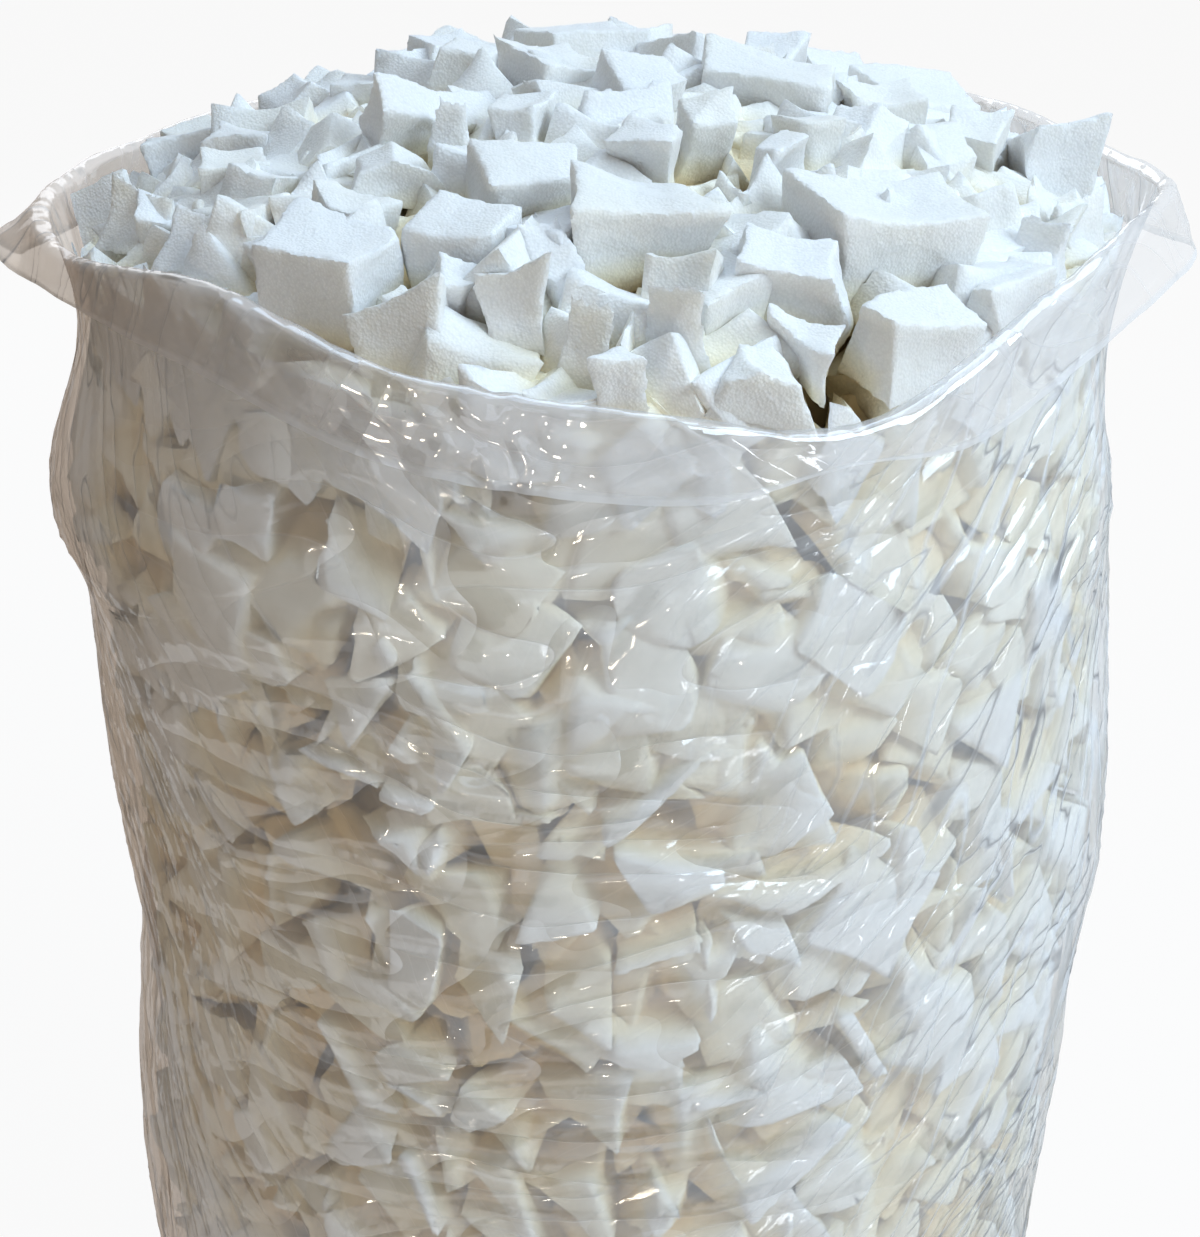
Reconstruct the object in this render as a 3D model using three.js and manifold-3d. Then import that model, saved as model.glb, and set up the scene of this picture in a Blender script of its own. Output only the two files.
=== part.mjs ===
// An open clear polythene sack, standing upright and heaped with offcuts of white foam.
// Millimetres, +Z up, the origin in the middle of the flat base. Bearing 0 is +X and the front is bearing 270.

import * as THREE from "three";
import { ConvexGeometry } from "three/addons/geometries/ConvexGeometry.js";
import { mergeVertices } from "three/addons/utils/BufferGeometryUtils.js";
import Module from "manifold-3d";

const wasm = await Module();
wasm.setup();

// Driving sizes of the sack
const layflatWidth = 737; // the flat tube, from crease to crease
const girthShare = 0.955; // share of the tube's girth that the gathers and wrinkles leave
const filmWall = 0.4; // thicker than real film, so that it is a sound solid
const baseRound = 55; // radius of the turn from the base into the wall
const shoulderHeight = 612; // where the filled sack is widest
const neckRise = 117; // from the shoulder up to the rim at the two creases
const mouthDraw = 1.5; // how far the mouth lies inside the body
const mouthPinch = 10; // the mouth's flattening on both sides of each crease
const neckDraw = 6; // hollow of the neck under the front and back of the rim
const earDraw = 8; // more hollow under the two ears
const earReach = 1.5; // how far the crease pulls the mouth out at each ear
const earSpread = 11; // degrees over which each ear falls away
const creases = [187, 349]; // bearings of the tube's two side creases
const pinchAside = 34; // degrees from a crease to the flattest place beside it
const pinchSpread = 20; // degrees over which that flattening falls away
const cuffTurn = 4; // radius of the turned-over rim
const cuffWidth = 28; // hanging width of the turned-over film
const cuffSplay = 8; // degrees that the cuff stands off, round the mouth
const earSplay = 13; // more degrees at the two ears
const foldDepth = 4.5; // height of the film's gathers beside the creases
const foldSpread = 45; // degrees from a crease over which they fade
const foldLeast = 0.3; // share of their height that is left at the front and the back
const foldCount = 13;
const foldTwist = 0.03; // radians of lean of the gathers for each millimetre up
const slumpShift = 6; // how far the full sack sways aside over its height
const slumpLevel = 425; // height where it sways furthest
const slumpPitch = 430; // height of one sway
const bulgeOut = 19; // how far the filling presses one shoulder out
const bulgeBearing = 200; // where it does so
const bulgeSpread = 38; // degrees over which that falls away
const bulgeAbove = 36; // how far over the widest place
const bulgeRise = 44; // height over which it falls away
const leftRise = 19; // how far the rim stands up beside the left ear
const rightRise = 17.5; // the same beside the right ear
const frontDip = 19; // how far it hangs down at the front
const backDip = 13; // the same along the back

// Rises and dips of the rim round the mouth, each with its bearing and its spread in degrees.
const rimWaves = [
  { bearing: 232, rise: leftRise, spread: 18.5 },
  { bearing: 338, rise: rightRise, spread: 22 },
  { bearing: 292.5, rise: -frontDip, spread: 16.5 },
  { bearing: 110, rise: -backDip, spread: 48 },
];

// Where the turned-over film is narrower: bearing, share of the width that is missing, and spread.
const cuffNarrows = [
  { bearing: 292, share: 0.7, spread: 11 },
  { bearing: 206, share: 0.55, spread: 17 },
];

// Driving sizes of the filling
const heapRise = 65; // the heap's middle over its edge
const heapEdge = 21; // the heap's edge below the rim at the creases
const heapLean = 12; // how much higher the heap is at the front than in the middle, and lower at the back
const bedDepth = 15; // the packed foam's top below the heap's surface
const gapDepth = 15; // how far the packed foam stands back from the film between the pieces that press against it
const wallCount = 120; // packed pieces that press against the film
const wallShare = 1.95; // their middle size, as a share of an offcut's middle size
const wallSunk = 0.4; // how far their middles lie behind the film, as a share of their largest size
const faceBack = 3; // how far behind the film's gathers they lie flat
const packedGap = 2; // between packed pieces that press together
const pieceShare = 0.162; // middle size of an offcut, as a share of the mouth's radius
const packedPlay = 0.3; // how much a packed piece's size may vary either way, as a share
const packedCount = 36; // packed pieces that show between the loose ones
const packedReach = 0.95; // share of the mouth's radius that they cover
const sunkShare = 0.6; // how much of a loose piece's height lies under the heap's surface
const cornerPlay = 0.16; // how far a corner of an offcut may be out of true, as a share of its size
const clearance = 0.3; // between touching solids
const pocketRoom = 0.45; // room left round each loose piece where it beds in the packed foam

// Mesh steps
const columns = 56;
const baseSteps = 3;
const wallSteps = 10;
const neckSteps = 5;
const turnSteps = 3;
const cuffSteps = 2;
const domeSteps = 5;

const fullTurn = Math.PI * 2;
const bodyRadius = (girthShare * layflatWidth) / Math.PI;
const mouthRadius = bodyRadius - mouthDraw;
const pieceSize = pieceShare * mouthRadius;
const rimHeight = shoulderHeight + neckRise;
const heapBase = rimHeight - heapEdge;
const filmGap = filmWall / 2 + clearance;

const filmMaterial = new THREE.MeshStandardMaterial({
  color: 0xdfe5ea,
  roughness: 0.15,
  metalness: 0,
  transparent: true,
  opacity: 0.35,
});
const foamMaterial = new THREE.MeshStandardMaterial({ color: 0xf3f1e8, roughness: 0.95, metalness: 0 });

// A repeatable stream of numbers from 0 to 1.
function numberStream(seed) {
  let state = seed;
  return () => {
    state = (state + 0x6d2b79f5) | 0;
    let mixed = Math.imul(state ^ (state >>> 15), 1 | state);
    mixed = (mixed + Math.imul(mixed ^ (mixed >>> 7), 61 | mixed)) ^ mixed;
    return ((mixed ^ (mixed >>> 14)) >>> 0) / 4294967296;
  };
}

const { degToRad: radians, radToDeg, euclideanModulo } = THREE.MathUtils;

function bell(distance, spread) {
  return Math.exp(-((distance / spread) ** 2));
}

// The smaller angle between two bearings, in degrees.
function bearingGap(bearing, degrees) {
  const halfTurn = fullTurn / 2;
  return radToDeg(Math.abs(euclideanModulo(bearing - radians(degrees) + halfTurn, fullTurn) - halfTurn));
}

// Degrees from the nearer of the tube's two side creases.
function fromCrease(bearing) {
  return Math.min(...creases.map((crease) => bearingGap(bearing, crease)));
}

function earShare(bearing) {
  return bell(fromCrease(bearing), earSpread);
}

function rimAt(bearing) {
  const rises = rimWaves.map((wave) => wave.rise * bell(bearingGap(bearing, wave.bearing), wave.spread));
  return rises.reduce((height, rise) => height + rise, rimHeight);
}

function cuffAt(bearing) {
  const missing = cuffNarrows.map((narrow) => narrow.share * bell(bearingGap(bearing, narrow.bearing), narrow.spread));
  return cuffWidth * missing.reduce((share, part) => share - part, 1);
}

function mouthAt(bearing) {
  const pinch = mouthPinch * bell(fromCrease(bearing) - pinchAside, pinchSpread);
  return mouthRadius - pinch + earReach * earShare(bearing);
}

// Gathers of the film, deepest beside the creases and flat at the base and the rim.
function gather(bearing, height) {
  const depth = foldDepth * (foldLeast + (1 - foldLeast) * bell(fromCrease(bearing), foldSpread));
  const run = Math.sin((Math.PI * height) / rimHeight);
  return depth * run * Math.sin(foldCount * bearing - foldTwist * Math.cos(bearing) * height);
}

// The shoulder that the filling presses out.
function bulge(bearing, height) {
  const over = height - shoulderHeight - bulgeAbove;
  return bulgeOut * bell(bearingGap(bearing, bulgeBearing), bulgeSpread) * bell(over, bulgeRise);
}

// Sideways sway of the sack's middle line.
function sway(height) {
  const run = Math.sin((Math.PI * Math.min(height, rimHeight)) / rimHeight);
  return slumpShift * run * Math.cos((fullTurn * (height - slumpLevel)) / slumpPitch);
}

// The film's middle surface at one bearing: points from the base's middle up to the cuff's free edge.
function filmProfile(bearing) {
  const floor = filmWall / 2;
  const points = [[0, floor], [bodyRadius - baseRound, floor]];
  for (let step = 1; step <= baseSteps; step++) {
    const angle = (step / baseSteps) * (Math.PI / 2);
    points.push([bodyRadius - baseRound * (1 - Math.sin(angle)), floor + baseRound * (1 - Math.cos(angle))]);
  }
  for (let step = 1; step <= wallSteps; step++) {
    const height = baseRound + ((shoulderHeight - baseRound) * step) / wallSteps;
    points.push([bodyRadius + gather(bearing, height) + bulge(bearing, height), height]);
  }
  const ear = earShare(bearing);
  const mouth = mouthAt(bearing);
  const rim = rimAt(bearing) - cuffTurn;
  for (let step = 1; step <= neckSteps; step++) {
    const share = step / neckSteps;
    const height = shoulderHeight + (rim - shoulderHeight) * share;
    const hollow = (neckDraw + earDraw * ear) * Math.sin(Math.PI * share);
    const ease = share * share * (3 - 2 * share);
    const fullness = (gather(bearing, height) + bulge(bearing, height)) * (1 - share);
    points.push([bodyRadius + (mouth - bodyRadius) * ease - hollow + fullness, height]);
  }
  const splay = radians(cuffSplay + earSplay * ear);
  const sweep = Math.PI - splay;
  for (let step = 1; step <= turnSteps; step++) {
    const angle = (sweep * step) / turnSteps;
    points.push([mouth + cuffTurn * (1 - Math.cos(angle)), rim + cuffTurn * Math.sin(angle)]);
  }
  const [edgeRadius, edgeHeight] = points.at(-1);
  for (let step = 1; step <= cuffSteps; step++) {
    const run = (cuffAt(bearing) * step) / cuffSteps;
    points.push([edgeRadius + run * Math.sin(splay), edgeHeight - run * Math.cos(splay)]);
  }
  return points;
}

const shoulderRow = 1 + baseSteps + wallSteps;
const mouthRow = shoulderRow + neckSteps;
const lastRow = mouthRow + turnSteps + cuffSteps;

// Grid of the film's middle surface: grid[row][column].
function filmGrid() {
  const grid = Array.from({ length: lastRow + 1 }, () => []);
  for (let column = 0; column < columns; column++) {
    const bearing = (fullTurn * column) / columns;
    filmProfile(bearing).forEach(([radius, height], row) => {
      const x = radius * Math.cos(bearing) + sway(height);
      grid[row].push(new THREE.Vector3(x, radius * Math.sin(bearing), height));
    });
  }
  return grid;
}

// Outward normals of the grid. The base is level.
function gridNormals(grid) {
  return grid.map((points, row) =>
    points.map((point, column) => {
      if (row < 2) return new THREE.Vector3(0, 0, -1);
      const next = points[(column + 1) % columns];
      const before = points[(column + columns - 1) % columns];
      const above = grid[Math.min(row + 1, lastRow)][column];
      const below = grid[row - 1][column];
      const across = new THREE.Vector3().subVectors(next, before);
      const up = new THREE.Vector3().subVectors(above, below);
      return across.cross(up).normalize();
    }),
  );
}

const grid = filmGrid();
const normals = gridNormals(grid);

// Rows of the grid moved along their normals: outwards for a positive distance.
function offsetRows(firstRow, endRow, distanceAt) {
  const rows = [];
  for (let row = firstRow; row <= endRow; row++) {
    rows.push(
      grid[row].map((point, column) => point.clone().addScaledVector(normals[row][column], distanceAt(row, column))),
    );
  }
  return rows;
}

// A closed skin from a point, rings of points and a last point, with its outside on the rings' outer side.
// From the ring turnRing on the rings run back down, and the faces' diagonals turn with them, so that the
// two faces of a wall are split alike.
function skin(start, rings, end, turnRing = rings.length) {
  const points = [start, ...rings.flat(), end];
  const faces = [];
  const around = rings[0].length;
  const at = (ring, column) => 1 + ring * around + (column % around);
  const last = points.length - 1;
  for (let column = 0; column < around; column++) {
    faces.push(0, at(0, column + 1), at(0, column));
    for (let ring = 0; ring + 1 < rings.length; ring++) {
      const [a, b] = [at(ring, column), at(ring, column + 1)];
      const [c, d] = [at(ring + 1, column), at(ring + 1, column + 1)];
      if (ring < turnRing) faces.push(a, b, d, a, d, c);
      else faces.push(a, b, c, b, d, c);
    }
    faces.push(last, at(rings.length - 1, column), at(rings.length - 1, column + 1));
  }
  const geometry = new THREE.BufferGeometry().setFromPoints(points);
  geometry.setIndex(faces);
  return geometry;
}

// Film: up the outer face from the base to the cuff's edge, then back down the inner face.
function filmGeometry() {
  const half = filmWall / 2;
  const outer = offsetRows(1, lastRow, () => half);
  const inner = offsetRows(1, lastRow, () => -half).reverse();
  const baseOutside = new THREE.Vector3(sway(0), 0, 0);
  const baseInside = new THREE.Vector3(sway(0), 0, filmWall);
  return skin(baseOutside, [...outer, ...inner], baseInside, outer.length);
}

// Solids for joining and cutting
function solidOf(geometry) {
  const bare = new THREE.BufferGeometry();
  bare.setAttribute("position", geometry.getAttribute("position").clone());
  if (geometry.index) bare.setIndex(geometry.index.clone());
  const merged = mergeVertices(bare, 1e-4);
  return new wasm.Manifold(
    new wasm.Mesh({
      numProp: 3,
      vertProperties: new Float32Array(merged.getAttribute("position").array),
      triVerts: new Uint32Array(merged.index.array),
    }),
  );
}

function geometryOf(solid) {
  const { vertProperties, triVerts, numProp } = solid.getMesh();
  const places = [];
  for (let at = 0; at < vertProperties.length; at += numProp) {
    places.push(vertProperties[at], vertProperties[at + 1], vertProperties[at + 2]);
  }
  const geometry = new THREE.BufferGeometry();
  geometry.setAttribute("position", new THREE.Float32BufferAttribute(places, 3));
  geometry.setIndex(Array.from(triVerts));
  return geometry;
}

// The largest body of a solid, without crumbs that a cut left loose.
function mainBody(solid) {
  return solid.decompose().sort((a, b) => b.volume() - a.volume())[0];
}

// Surface of the heap over the plan.
function heapAt(x, y) {
  const share = Math.min(1, (x * x + y * y) / (mouthRadius * mouthRadius));
  return heapBase + heapRise * (1 - share) - (heapLean * y) / mouthRadius;
}

// The room inside the film, open upwards past the heap's top.
function roomGeometry() {
  const rings = offsetRows(1, mouthRow, () => -filmGap);
  const ceiling = heapBase + 2 * heapRise;
  rings.push(rings.at(-1).map((point) => new THREE.Vector3(point.x, point.y, ceiling)));
  return skin(new THREE.Vector3(0, 0, filmWall + clearance), rings, new THREE.Vector3(0, 0, ceiling));
}

// The body of the packed foam, in half as many columns: it stands back from the film between the base and the
// shoulder, and its top is a dome.
function packedGeometry() {
  const topRow = mouthRow - 2;
  const fullRings = offsetRows(1, topRow, (row) => -filmGap - (row > 2 && row <= shoulderRow ? gapDepth : 0));
  const rings = fullRings.map((ring) => ring.filter((point, column) => column % 2 === 0));
  const edge = rings.at(-1);
  for (let step = 1; step <= domeSteps; step++) {
    const share = 1 - step / (domeSteps + 1);
    rings.push(
      edge.map((point) => {
        const x = point.x * share;
        const y = point.y * share;
        return new THREE.Vector3(x, y, heapAt(x, y) - bedDepth);
      }),
    );
  }
  const top = new THREE.Vector3(0, 0, heapAt(0, 0) - bedDepth);
  return skin(new THREE.Vector3(0, 0, filmWall + clearance), rings, top);
}

// Corners moved so that their mean is the middle, which then lies well inside the offcut.
function centred(corners) {
  const mean = [0, 1, 2].map((axis) => corners.reduce((sum, corner) => sum + corner[axis], 0) / corners.length);
  return corners.map((corner) => corner.map((share, axis) => share - mean[axis]));
}

// Corners of the offcuts in a cube two units wide.
const cubeCorners = [-1, 1].flatMap((x) => [-1, 1].flatMap((y) => [-1, 1].map((z) => [x, y, z])));
const arcCorners = [0, 45, 90, 135, 180].flatMap((angle) =>
  [-1, 1].map((y) => [Math.cos(radians(angle)), y, 2 * Math.sin(radians(angle)) - 1]),
);
const forms = {
  block: cubeCorners,
  tapered: cubeCorners.map(([x, y, z]) => (z > 0 ? [x * 0.62, y * 0.8, z] : [x, y, z])),
  wedge: centred([...cubeCorners.filter(([, , z]) => z < 0), [-0.9, 0.7, 1], [0.8, 0.5, 1]]),
  shard: centred([[-1, -0.8, -1], [1, -1, -1], [0.3, 1, -1], [-0.5, 0.3, 1], [0.5, -0.4, 0.8]]),
  curved: centred(arcCorners),
};

// One offcut of foam, its corners cut a little out of true by hand knives and the shredder. A pocket for it is
// larger by a growth and open upwards by a lift.
function offcut({ form, size, turn, centre, seed }, growth, lift = 0) {
  const random = numberStream(seed);
  const points = forms[form].map((corner) => {
    const place = corner.map((share, axis) => {
      const play = 1 + cornerPlay * (2 * random() - 1);
      return share * (size[axis] / 2 + growth) * play;
    });
    return new THREE.Vector3(...place).applyEuler(turn).add(centre);
  });
  const raised = lift > 0 ? points.map((point) => point.clone().setZ(point.z + lift)) : [];
  return solidOf(new ConvexGeometry([...points, ...raised]));
}

// Loose pieces on the heap: form, bearing in degrees, reach as a share of the mouth's radius,
// length, depth and height as shares of an offcut's middle size, then heading and lean in degrees.
const loosePieces = [
  ["wedge", 198, 0.84, 1.28, 0.78, 0.89, -25, 12],
  ["wedge", 214, 0.8, 0.89, 0.67, 0.67, -30, 0],
  ["block", 198, 0.68, 0.78, 0.72, 0.72, 15, 10],
  ["block", 186, 0.66, 0.78, 0.72, 0.72, -12, 0],
  ["block", 171, 0.8, 0.83, 0.72, 0.67, 8, -15],
  ["block", 232, 0.66, 0.72, 0.67, 0.67, 35, 10],
  ["curved", 228, 0.52, 1.28, 0.94, 0.78, 8, -10],
  ["block", 212, 0.36, 1.44, 0.67, 0.78, 22, 28],
  ["shard", 228, 0.38, 0.83, 0.72, 1.06, 10, 0],
  ["tapered", 242, 0.3, 1, 0.78, 0.83, -18, -12],
  ["block", 200, 0.1, 1.06, 0.94, 1, 30, 12],
  ["tapered", 156, 0.26, 1, 0.83, 0.78, -20, 0],
  ["block", 255, 0.5, 1, 0.72, 0.67, 12, 18],
  ["block", 250, 0.66, 0.94, 0.78, 0.83, -22, 14],
  ["block", 237, 0.8, 1.17, 1, 1.33, -24, 6],
  ["block", 249, 0.83, 0.67, 0.56, 0.67, 20, 0],
  ["tapered", 254, 0.78, 0.94, 0.67, 0.67, 8, 16],
  ["block", 260, 0.8, 0.72, 0.67, 1.06, -8, -10],
  ["wedge", 266, 0.74, 0.67, 0.56, 1, 18, -14],
  ["wedge", 269, 0.88, 0.67, 0.5, 1, -16, 10],
  ["block", 275, 0.6, 1.44, 0.94, 0.89, 10, 14],
  ["block", 293, 0.16, 0.83, 0.78, 0.83, 24, 10],
  ["block", 358, 0.3, 1.67, 1, 0.89, -10, 8],
  ["tapered", 297, 0.37, 0.94, 0.78, 1.28, 14, 18],
  ["block", 326, 0.44, 0.72, 0.61, 0.67, 30, 0],
  ["curved", 338, 0.5, 1.22, 0.89, 0.83, -18, 14],
  ["block", 6, 0.54, 1.06, 0.83, 0.78, 12, 0],
  ["block", 358, 0.68, 0.83, 0.78, 0.83, -20, 10],
  ["block", 1, 0.84, 0.94, 0.83, 1.39, 8, -8],
  ["curved", 12, 0.9, 0.89, 0.78, 0.94, 60, 10],
  ["block", 310, 0.69, 1.89, 1.39, 1.39, 16, 12],
  ["tapered", 292, 0.76, 1.56, 0.94, 0.94, -10, 16],
  ["wedge", 328, 0.86, 0.72, 0.67, 0.83, -35, 0],
  ["wedge", 343, 0.87, 0.89, 0.78, 0.78, 40, 12],
  ["block", 316, 0.9, 1.11, 0.78, 0.83, 42, -10],
  ["block", 302, 0.92, 1.22, 0.83, 0.83, 32, 8],
  ["block", 289, 0.9, 0.78, 0.61, 0.72, -14, 14],
  ["curved", 284, 0.93, 1.17, 0.72, 0.72, 12, 8],
  ["shard", 278, 0.86, 1.06, 0.72, 1.17, -10, 6],
  ["block", 272, 0.92, 0.72, 0.61, 0.72, 6, 10],
  ["block", 280, 0.42, 0.78, 0.67, 0.89, -26, 14],
  ["tapered", 308, 0.5, 0.94, 0.78, 0.78, 24, -8],
  ["block", 30, 0.74, 1.4, 1, 0.95, 32, 10],
  ["tapered", 46, 0.46, 1.5, 1.11, 1.06, -14, 12],
  ["block", 56, 0.84, 1.25, 0.9, 0.85, 60, -8],
  ["wedge", 80, 0.62, 1.35, 1.05, 0.85, 6, 10],
  ["curved", 84, 0.86, 1.25, 0.95, 0.8, -8, 6],
  ["block", 96, 0.32, 1.35, 1.1, 0.9, 22, -8],
  ["block", 112, 0.72, 1.3, 1.05, 0.85, -26, 12],
  ["tapered", 128, 0.48, 1.56, 1.06, 1.06, 36, 6],
  ["block", 132, 0.86, 1.25, 0.95, 0.85, -40, 8],
  ["curved", 152, 0.66, 1.39, 1, 0.94, 20, -6],
  ["block", 156, 0.88, 1.22, 0.89, 0.89, -68, 6],
  ["shard", 18, 0.3, 1.11, 0.94, 1, 44, 0],
];

const looseSpecs = loosePieces.map(([form, bearing, reach, length, depth, height, heading, lean], index) => {
  const x = reach * mouthRadius * Math.cos(radians(bearing));
  const y = reach * mouthRadius * Math.sin(radians(bearing));
  const size = [length, depth, height].map((share) => share * pieceSize);
  const z = heapAt(x, y) + size[2] * (0.5 - sunkShare);
  return {
    name: `foam_piece_${String(index + 1).padStart(2, "0")}`,
    form,
    size,
    turn: new THREE.Euler(radians(lean), radians(lean / 2), radians(heading), "ZXY"),
    centre: new THREE.Vector3(x, y, z),
    seed: 101 + index,
  };
});

// Packed pieces that show between the loose ones, spread over the dome along a sunflower spiral.
const goldenAngle = Math.PI * (3 - Math.sqrt(5));
const packedRandom = numberStream(29);
const packedSpecs = Array.from({ length: packedCount }, (unused, index) => {
  const bearing = index * goldenAngle;
  const reach = mouthRadius * packedReach * Math.sqrt((index + 0.5) / packedCount);
  const x = reach * Math.cos(bearing);
  const y = reach * Math.sin(bearing);
  const stretch = () => pieceSize * (1 + packedPlay * (2 * packedRandom() - 1));
  return {
    form: ["block", "tapered", "wedge", "block"][index % 4],
    size: [stretch(), stretch(), stretch()],
    turn: new THREE.Euler(packedRandom() - 0.5, packedRandom() - 0.5, fullTurn * packedRandom()),
    centre: new THREE.Vector3(x, y, heapAt(x, y) - bedDepth),
    seed: 301 + index,
  };
});

// Packed pieces that press against the film, wound up the wall in the same way.
const wallRandom = numberStream(53);
const wallForms = ["block", "tapered", "block", "wedge", "block"];
const wallTop = shoulderHeight - pieceSize / 2;
const wallSpecs = Array.from({ length: wallCount }, (unused, index) => {
  const bearing = index * goldenAngle;
  const height = baseRound + ((wallTop - baseRound) * (index + 0.5)) / wallCount;
  const stretch = () => wallShare * pieceSize * (1 + packedPlay * (2 * wallRandom() - 1));
  const size = [stretch(), stretch(), stretch()];
  const film = bodyRadius + bulge(bearing, height);
  const outward = new THREE.Vector3(Math.cos(bearing), Math.sin(bearing), 0);
  const middle = new THREE.Vector3(sway(height), 0, height);
  return {
    form: wallForms[index % wallForms.length],
    size,
    turn: new THREE.Euler(fullTurn * wallRandom(), fullTurn * wallRandom(), fullTurn * wallRandom()),
    centre: middle.clone().addScaledVector(outward, film - wallSunk * Math.max(...size)),
    seed: 401 + index,
    inward: outward.clone().negate(),
    flatAt: middle.dot(outward) + film - foldDepth - faceBack,
  };
});

function meet(first, second) {
  return !offcut(first, clearance).intersect(offcut(second, clearance)).isEmpty();
}

// Two pieces that press together share the room by a plane between their middles.
function pressApart(solids, specs, gap, pressing) {
  for (let first = 0; first < solids.length; first++) {
    for (let second = first + 1; second < solids.length; second++) {
      const line = new THREE.Vector3().subVectors(specs[second].centre, specs[first].centre);
      const distance = line.length();
      line.normalize();
      const halfFirst = Math.hypot(...specs[first].size) / 2;
      const halfSecond = Math.hypot(...specs[second].size) / 2;
      if (distance > halfFirst + halfSecond + gap) continue;
      if (!pressing(specs[first], specs[second])) continue;
      const meeting = (distance + (halfFirst ** 2 - halfSecond ** 2) / distance) / 2;
      const plane = specs[first].centre.dot(line) + meeting;
      const back = line.clone().negate();
      solids[first] = solids[first].trimByPlane(back.toArray(), -(plane - gap / 2));
      solids[second] = solids[second].trimByPlane(line.toArray(), plane + gap / 2);
    }
  }
}

const room = solidOf(roomGeometry());
const looseSolids = looseSpecs.map((spec) => offcut(spec, 0));
pressApart(looseSolids, looseSpecs, clearance, meet);

// The packed pieces are in contact with all their neighbours.
const bedSpecs = [...wallSpecs, ...packedSpecs];
const bedSolids = [
  ...wallSpecs.map((spec) => offcut(spec, 0).trimByPlane(spec.inward.toArray(), -spec.flatAt)),
  ...packedSpecs.map((spec) => offcut(spec, 0)),
];
pressApart(bedSolids, bedSpecs, packedGap, () => true);

let packed = solidOf(packedGeometry());
for (const solid of bedSolids) packed = packed.add(solid);
packed = packed.intersect(room);
for (const spec of looseSpecs) packed = packed.subtract(offcut(spec, pocketRoom, heapRise));

// Each mesh has its own place: its geometry is measured from the middle of its box.
function pieceMesh(name, geometry, material) {
  geometry.computeBoundingBox();
  const middle = geometry.boundingBox.getCenter(new THREE.Vector3());
  geometry.translate(-middle.x, -middle.y, -middle.z);
  geometry.computeVertexNormals();
  const mesh = new THREE.Mesh(geometry, material);
  mesh.name = name;
  mesh.position.copy(middle);
  return mesh;
}

const sack = new THREE.Group();
sack.add(pieceMesh("film_sack", filmGeometry(), filmMaterial));
sack.add(pieceMesh("packed_foam", geometryOf(mainBody(packed)), foamMaterial));
looseSpecs.forEach((spec, index) => {
  const solid = mainBody(looseSolids[index].intersect(room));
  sack.add(pieceMesh(spec.name, geometryOf(solid), foamMaterial));
});

// The sack stands with the middle of its box over the origin.
const box = new THREE.Box3().setFromObject(sack, true);
sack.position.set(-(box.min.x + box.max.x) / 2, -(box.min.y + box.max.y) / 2, 0);

const model = new THREE.Group();
model.add(sack);

export default model;
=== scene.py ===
# %% [markdown]
# # An open clear sack of shredded foam
#
# The object is a thin, clear polythene sack that stands upright and is heaped with white foam offcuts.
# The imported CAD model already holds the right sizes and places: one film solid, one solid for the packed
# foam, and 54 loose offcuts. This lesson dresses them. It starts by loading that frame, and everything
# later is made in metres in the same frame, so a piece needs no fitting.

import math
import random

import bmesh
import bpy
import numpy as np
from mathutils import Euler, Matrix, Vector, noise
from mathutils.bvhtree import BVHTree


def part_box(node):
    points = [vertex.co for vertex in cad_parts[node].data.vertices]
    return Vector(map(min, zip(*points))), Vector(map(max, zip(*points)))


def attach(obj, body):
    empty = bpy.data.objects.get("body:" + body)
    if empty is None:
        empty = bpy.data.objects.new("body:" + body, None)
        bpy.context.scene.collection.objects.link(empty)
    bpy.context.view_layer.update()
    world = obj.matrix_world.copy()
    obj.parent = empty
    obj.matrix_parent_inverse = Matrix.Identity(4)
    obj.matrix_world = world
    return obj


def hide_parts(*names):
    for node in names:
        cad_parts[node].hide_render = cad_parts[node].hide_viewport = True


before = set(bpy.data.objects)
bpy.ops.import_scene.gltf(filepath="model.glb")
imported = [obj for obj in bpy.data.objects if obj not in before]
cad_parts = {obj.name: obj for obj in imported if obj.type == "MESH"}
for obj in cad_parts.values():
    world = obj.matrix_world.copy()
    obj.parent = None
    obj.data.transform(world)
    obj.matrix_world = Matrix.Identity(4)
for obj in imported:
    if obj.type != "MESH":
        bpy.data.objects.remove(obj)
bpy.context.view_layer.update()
MM = 0.001
scene = bpy.context.scene
scene.view_settings.view_transform = "Standard"

# %% [markdown]
# ## The camera
#
# The photograph looks down on the heap from the front, so that the mouth is seen as a wide oval and the
# bottom of the sack is cut off. A camera can be placed by eye, but here the pitch, the height and the
# focal length were worked out from the oval's proportions, which makes the whole outline fall into place
# at once.

# %% Place the camera
IMAGE_TALL = 1237
FOCAL_PIXELS = 2200.0
SENSOR_MM = 36.0
CAMERA_PITCH = 29.0
CAMERA_PLACE = (0.0, -0.882, 1.011)

camera_data = bpy.data.cameras.new("camera")
camera_data.sensor_width = SENSOR_MM
camera_data.lens = FOCAL_PIXELS / IMAGE_TALL * SENSOR_MM
camera = bpy.data.objects.new("camera", camera_data)
camera.location = CAMERA_PLACE
camera.rotation_euler = (math.radians(90.0 - CAMERA_PITCH), 0.0, 0.0)
scene.collection.objects.link(camera)
scene.camera = camera
print("lens in millimetres:", round(camera_data.lens, 2))

# %% [markdown]
# ## Floor and backdrop
#
# The photograph has a plain white ground. The floor is a pale diffuse sheet, so that it takes the sack's
# shadow. For the camera, and for rays that the film reflects or lets through, part of it is replaced by a
# plain white glow, which lifts it to white without throwing more light on the object.


# %% Node helpers
def new_material(name):
    """A material with an empty node tree and an output."""
    made = bpy.data.materials.new(name)
    made.use_nodes = True
    made.node_tree.nodes.clear()
    return made, made.node_tree.nodes.new("ShaderNodeOutputMaterial")


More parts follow.
